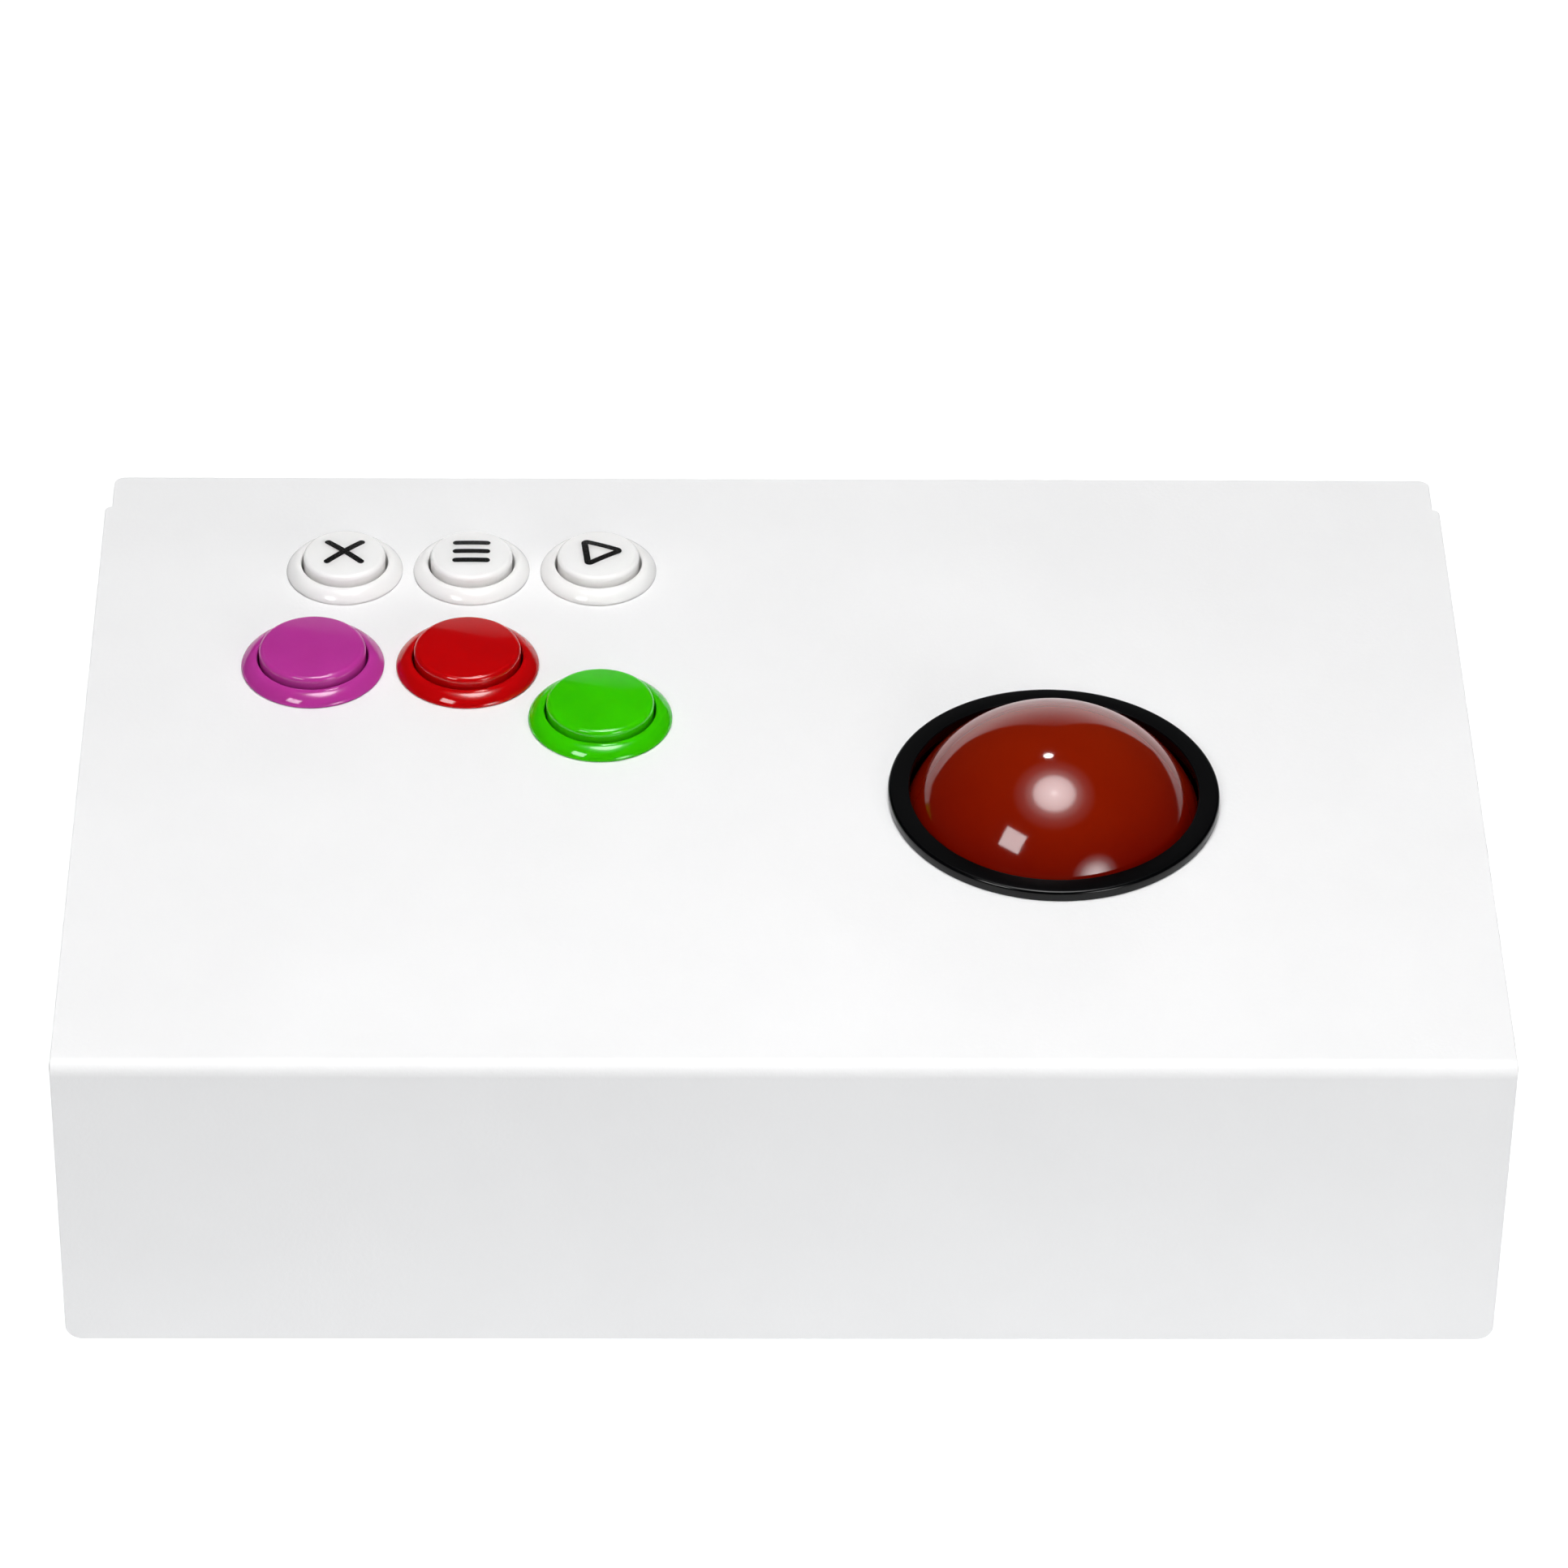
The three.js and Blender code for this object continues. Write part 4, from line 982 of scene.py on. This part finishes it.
def controller_board():
    """The board with its chip, two wire headers and small parts."""
    thickness = 1.6
    top = BOARD_LOW.z + thickness
    outline = rounded_rectangle(BOARD_LOW.x, BOARD_HIGH.x, BOARD_LOW.y, BOARD_HIGH.y, 2)
    holes = [circle(x, y, 1.7, 32) for x, y in BOARD_HOLES]
    bm = sheet_bmesh(outline, holes, thickness, 0.1, 2)
    move(bm, 0, 0, top)
    finish_node("controller_board", "plate", bm, "circuit_board")

    def blocks(name, slot, rows):
        made = bmesh.new()
        for x0, x1, y0, y1, z0, z1 in rows:
            add_block(made, (x0, y0, z0), (x1, y1, z1))
        move(made, *BOARD_CENTRE.xy, top)
        finish_mesh("controller_board_" + name, made, slot)

    chip = [(-25, -13, -3, 9, 0.2, 1.4)]
    small = [(x, x + 2, y, y + 1.25, 0, 0.7) for x in (-4, 2, 8, 14) for y in (-8, -3, 2, 12)]
    blocks("chips", "switch_plastic", chip + small)
    leads = [(x, x + 1.1, -2.5 + k * 1.3, -2 + k * 1.3, 0.05, 0.6) for x in (-26, -13.1) for k in range(9)]
    blocks("leads", "bearing_steel", leads)
    rows = []
    for x0, x1 in ((-10, 10), (22, 34)):
        rows += [(x0, x1, -24, -17, 0, 6.2), (x0 + 0.8, x1 - 0.8, -23.2, -17.8, 6.1, 8)]
        rows += [(x0 + 1 + k * 2, x0 + 1.6 + k * 2, -17.2, -16.6, 1, 6)
                 for k in range(round((x1 - x0 - 1) / 2))]
    blocks("headers", "white_plastic", rows)


def smooth_route(points, steps=8):
    """A smooth curve through the points."""
    spots = [Vector(p) for p in points]
    spots = [spots[0] * 2 - spots[1]] + spots + [spots[-1] * 2 - spots[-2]]
    route = []
    for a, b, c, d in zip(spots, spots[1:], spots[2:], spots[3:]):
        for k in range(steps):
            t = k / steps
            route.append(0.5 * (2 * b + (c - a) * t + (2 * a - 5 * b + 4 * c - d) * t ** 2
                                + (3 * b - a - 3 * c + d) * t ** 3))
    return route + [spots[-2]]


PAIR_PITCH = 14


def add_wire(bm, route, radius, offset=0.0, start_turn=0.0, sides=10):
    """A round wire along a route. With an offset it winds round the route like one of a twisted pair."""
    length = 0.0
    across = None
    rings = []
    for i, spot in enumerate(route):
        ahead = (route[min(i + 1, len(route) - 1)] - route[max(i - 1, 0)]).normalized()
        if across is None:
            across = ahead.orthogonal().normalized()
        across = (across - ahead * across.dot(ahead)).normalized()
        other = ahead.cross(across)
        length += (spot - route[i - 1]).length if i else 0
        angle = start_turn + tau * length / PAIR_PITCH
        centre = spot + (across * cos(angle) + other * sin(angle)) * offset
        rings.append([bm.verts.new(centre + across * p.x + other * p.y)
                      for p in circle(0, 0, radius, sides)])
    add_tube(bm, rings)


def looms():
    """Sleeved trunks from the controller, and a twisted pair to each switch."""
    board_x = BOARD_CENTRE.x
    root_y = BOARD_LOW.y + 4.5
    start = BOARD_HIGH.z + 0.3
    bm = bmesh.new()
    fork = Vector((board_x, root_y, start + 14))
    add_wire(bm, [Vector((board_x, root_y, start + k)) for k in range(15)], 2.9, sides=24)
    tie = fillet([(2.8, 0), (3.4, 0, 0.2), (3.4, 2, 0.2), (2.8, 2)], 3)
    add_turned(bm, tie, 32, (board_x, root_y, start + 11))
    for button in BUTTONS:
        switch_low = box(button + "_switch")[0]
        place = middle(button + "_switch")
        halfway = ((board_x + place.x) / 2, (root_y + place.y) / 2, fork.z + 1.5)
        ends = (place.x, place.y, switch_low.z - 0.3)
        route = smooth_route([(board_x, root_y, start + 12), halfway, ends], 20)
        for turn in (0, pi):
            add_wire(bm, route, 0.6, 0.62, turn)
    finish_node("button_loom", "wires", bm, "wire_sleeve", smooth_angle=50)
    ground = BASE_LOW.z + SHEET + 3.3
    root_x = board_x + 28
    plug = box("x_sensor_board")[0].z - 0.3
    fork = (-20, 20, ground)
    x_mouth = (BALL_CENTRE.x - 13.1, BALL_CENTRE.y - 35)
    y_mouth = (BALL_CENTRE.x + 35, BALL_CENTRE.y + 13.1)
    rise = [(root_x, root_y, start), (root_x, root_y, start + 4), (root_x, root_y - 6, start + 7),
            (root_x + 4, root_y - 16, start - 2), fork]
    first = [(10, 0, ground), (40, -30, ground), (*x_mouth, ground + 3), (*x_mouth, plug)]
    second = [(10, 6, ground), (60, 8, ground), (*y_mouth, ground + 3), (*y_mouth, plug)]
    bm = bmesh.new()
    add_wire(bm, smooth_route(rise + first, 12), 2, sides=20)
    add_wire(bm, smooth_route([fork] + second, 12), 1.5, sides=20)
    finish_node("trackball_loom", "sleeve", bm, "wire_sleeve", smooth_angle=50)


# --- cable socket

def cable_socket():
    """A square socket with a metal shell, a plastic tongue and four contacts."""
    x, z = SOCKET_CENTRE.xz
    face = SOCKET_HIGH.y
    depth = SOCKET_HIGH.y - SOCKET_LOW.y
    outline = rounded_rectangle(SOCKET_LOW.x, SOCKET_HIGH.x, SOCKET_LOW.z, SOCKET_HIGH.z, 0.8)
    mouth = fillet([(x - 4.3, z - 3.9, 0.4), (x + 4.3, z - 3.9, 0.4), (x + 4.3, z + 2.4, 0.4),
                    (x + 2.8, z + 3.9, 0.4), (x - 2.8, z + 3.9, 0.4), (x - 4.3, z + 2.4, 0.4)], 4)
    bm = sheet_bmesh(outline, [mouth], 9, 0.3, 3)
    transform(bm, upright(face))
    add_sheet(bm, upright(face - 8.9), outline, [], depth - 8.9, 0.3, 3)
    finish_node("cable_socket", "shell", bm, "socket_metal")
    bm = bmesh.new()
    add_block(bm, (x - 2.6, face - 9, z - 1.4), (x + 2.6, face - 1, z + 1.4), 0.25, 3)
    finish_mesh("cable_socket_tongue", bm, "switch_plastic")
    bm = bmesh.new()
    for side in (x - 1.25, x + 1.25):
        for level in (z - 1.45, z + 1.45):
            add_block(bm, (side - 0.4, face - 8.8, level - 0.12), (side + 0.4, face - 1.6, level + 0.12),
                      0.05)
    finish_mesh("cable_socket_contacts", bm, "bearing_steel")


# --- build

top_cover()
side_walls()
rear_wall()
base_plate()
feet()
for button in BUTTONS:
    button_housing(button)
    button_plunger(button)
    button_switch(button)
icons()
trackball_ball()
trackball_ring()
rollers()
for roller in ("x_roller", "y_roller"):
    encoder_wheel(roller)
    sensor_board(roller)
trackball_shell()
trackball_tray()
fasteners()
controller_board()
looms()
cable_socket()


# --- stage: lights, backdrop and floor are in metres

def flat_mesh(name, corners, material):
    mesh = bpy.data.meshes.new(name)
    mesh.from_pydata(corners, [], [tuple(range(len(corners)))])
    mesh.materials.append(material)
    return mesh


def towards(azimuth, elevation):
    """A direction from the ball. Azimuth 0 is the rear, 90 the right."""
    a, e = radians(azimuth), radians(elevation)
    return Vector((sin(a) * cos(e), cos(a) * cos(e), sin(e)))


def aim(thing, azimuth, elevation, distance):
    """Puts something at a distance from the ball, with its -z side towards the ball."""
    direction = towards(azimuth, elevation)
    thing.location = BALL_CENTRE * MM + direction * distance
    thing.rotation_euler = direction.to_track_quat("Z", "Y").to_euler()
    thing.visible_camera = False


def half_size(distance, degrees):
    return distance * tan(radians(degrees / 2))


def area_light(name, azimuth, elevation, distance, width, height, radiance, shape="RECTANGLE"):
    """A light with a clear edge. Its size is given in degrees, seen from the ball."""
    light = bpy.data.lights.new(name, "AREA")
    light.shape = shape
    light.size = 2 * half_size(distance, width)
    light.size_y = 2 * half_size(distance, height)
    area = light.size * light.size_y * (pi / 4 if shape == "ELLIPSE" else 1)
    light.energy = radiance * pi * area
    aim(add_object(name, light), azimuth, elevation, distance)


def glow(name, azimuth, elevation, distance, width, height, radiance, profile):
    """An oval light. The profile gives its brightness, as a share of the radiance, along its radius."""
    n = Nodes(name, (0, 0, 0), 1.0, Specular_IOR_Level=0.0, Emission_Strength=radiance)
    reach = n.node("VectorMath")
    reach.operation = "LENGTH"
    n.link(n.coordinates, reach.inputs[0])
    fade = n.node("ValToRGB")
    stops = fade.color_ramp.elements
    for place, _ in profile[1:-1]:
        stops.new(place)
    for stop, (place, share) in zip(stops, profile):
        stop.position = place
        stop.color = (share, share, share, 1)
    n.link(reach.outputs["Value"], fade.inputs["Fac"])
    n.link(fade.outputs["Color"], n.shader.inputs["Emission Color"])
    rim = [(p.x, p.y, 0) for p in circle(0, 0, 1, 64)]
    panel = add_object(name, flat_mesh(name, rim, n.material))
    aim(panel, azimuth, elevation, distance)
    panel.scale = (half_size(distance, width), half_size(distance, height), 1)


def backdrop(distance, radiance, outline):
    """A lit screen behind the box, given by azimuths and elevations seen from the ball."""
    corners = []
    for azimuth, elevation in outline:
        direction = towards(azimuth, elevation)
        corners.append(BALL_CENTRE * MM + direction * distance / direction.y)
    n = Nodes("backdrop", (0, 0, 0), 1.0, Emission_Color=(1, 1, 1, 1))
    height = n.node("SeparateXYZ")
    n.link(n.coordinates, height.inputs["Vector"])
    low, high = (distance * tan(radians(elevation)) for elevation in (8, 33))
    n.link(n.ramp(height.outputs["Z"], low, high, radiance, radiance * 0.12),
           n.shader.inputs["Emission Strength"])
    screen = add_object("backdrop", flat_mesh("backdrop", corners, n.material))
    screen.visible_camera = False


def floor():
    """White paper that glows a little, so that it stays white round the box."""
    n = Nodes("floor_paper", (0.25, 0.25, 0.25), 0.9, Emission_Color=(0.98, 0.99, 1.0, 1))
    distance = n.node("VectorMath")
    distance.operation = "DISTANCE"
    distance.inputs[1].default_value = (0, 1.6, 0)
    n.link(n.coordinates, distance.inputs[0])
    n.link(n.ramp(distance.outputs["Value"], 1.8, 2.1, FLOOR_GLOW, FLOOR_GLOW * 0.35),
           n.shader.inputs["Emission Strength"])
    corners = [(-6, -6, 0), (6, -6, 0), (6, 6, 0), (-6, 6, 0)]
    sheet = add_object("floor", flat_mesh("floor", corners, n.material))


FLOOR_GLOW = 0.94
OVERHEAD_FADE = [(0, 1.0), (0.08, 0.68), (0.3, 0.57), (0.42, 0.46), (0.51, 0.12), (0.7, 0.03), (1.0, 0.0)]
RIGHT_FADE = [(0, 1.0), (0.35, 0.62), (0.7, 0.12), (1.0, 0.0)]
SCREEN = [(-55, -8), (-55, -6), (-28, 7), (-14, 22), (-3, 31), (3, 33), (9, 29), (20, 15), (33, -1),
          (55, -6), (55, -8)]
floor()
glow("overhead", azimuth=180, elevation=84, distance=1.1, width=56, height=56, radiance=20.5,
     profile=OVERHEAD_FADE)
glow("right_glow", azimuth=149, elevation=21, distance=0.95, width=34, height=28, radiance=12.0,
     profile=RIGHT_FADE)
area_light("spot", azimuth=-5, elevation=64.5, distance=1.2, width=5.5, height=4.5, radiance=28.0,
           shape="ELLIPSE")
area_light("softbox", azimuth=-137, elevation=42, distance=1.25, width=16.4, height=13.8, radiance=10.4)
backdrop(distance=4.5, radiance=1.05, outline=SCREEN)

world = bpy.data.worlds.new("studio")
world.use_nodes = True
world.node_tree.nodes["Background"].inputs["Color"].default_value = (0.02, 0.02, 0.02, 1)
bpy.context.scene.world = world
bpy.context.scene.view_settings.view_transform = "Standard"

# --- camera

CAMERA_PLACE = Vector((-0.03036, -1.32526, 1.11352))
PITCH, YAW, ROLL = (radians(angle) for angle in (38.065, 1.370, 0.963))
camera_data = bpy.data.cameras.new("camera")
camera_data.lens = 168.04
camera_data.sensor_width = 36
camera_data.clip_start = 0.05
camera = add_object("camera", camera_data)
tilt = Matrix.Rotation(pi / 2 + PITCH, 3, "X")
view = Matrix.Rotation(ROLL, 3, "Z") @ tilt @ Matrix.Rotation(YAW, 3, "Z")
turn = (view.transposed() @ Matrix.Diagonal((1, -1, -1))).to_4x4()
camera.matrix_world = Matrix.Translation(CAMERA_PLACE) @ turn
bpy.context.scene.camera = camera
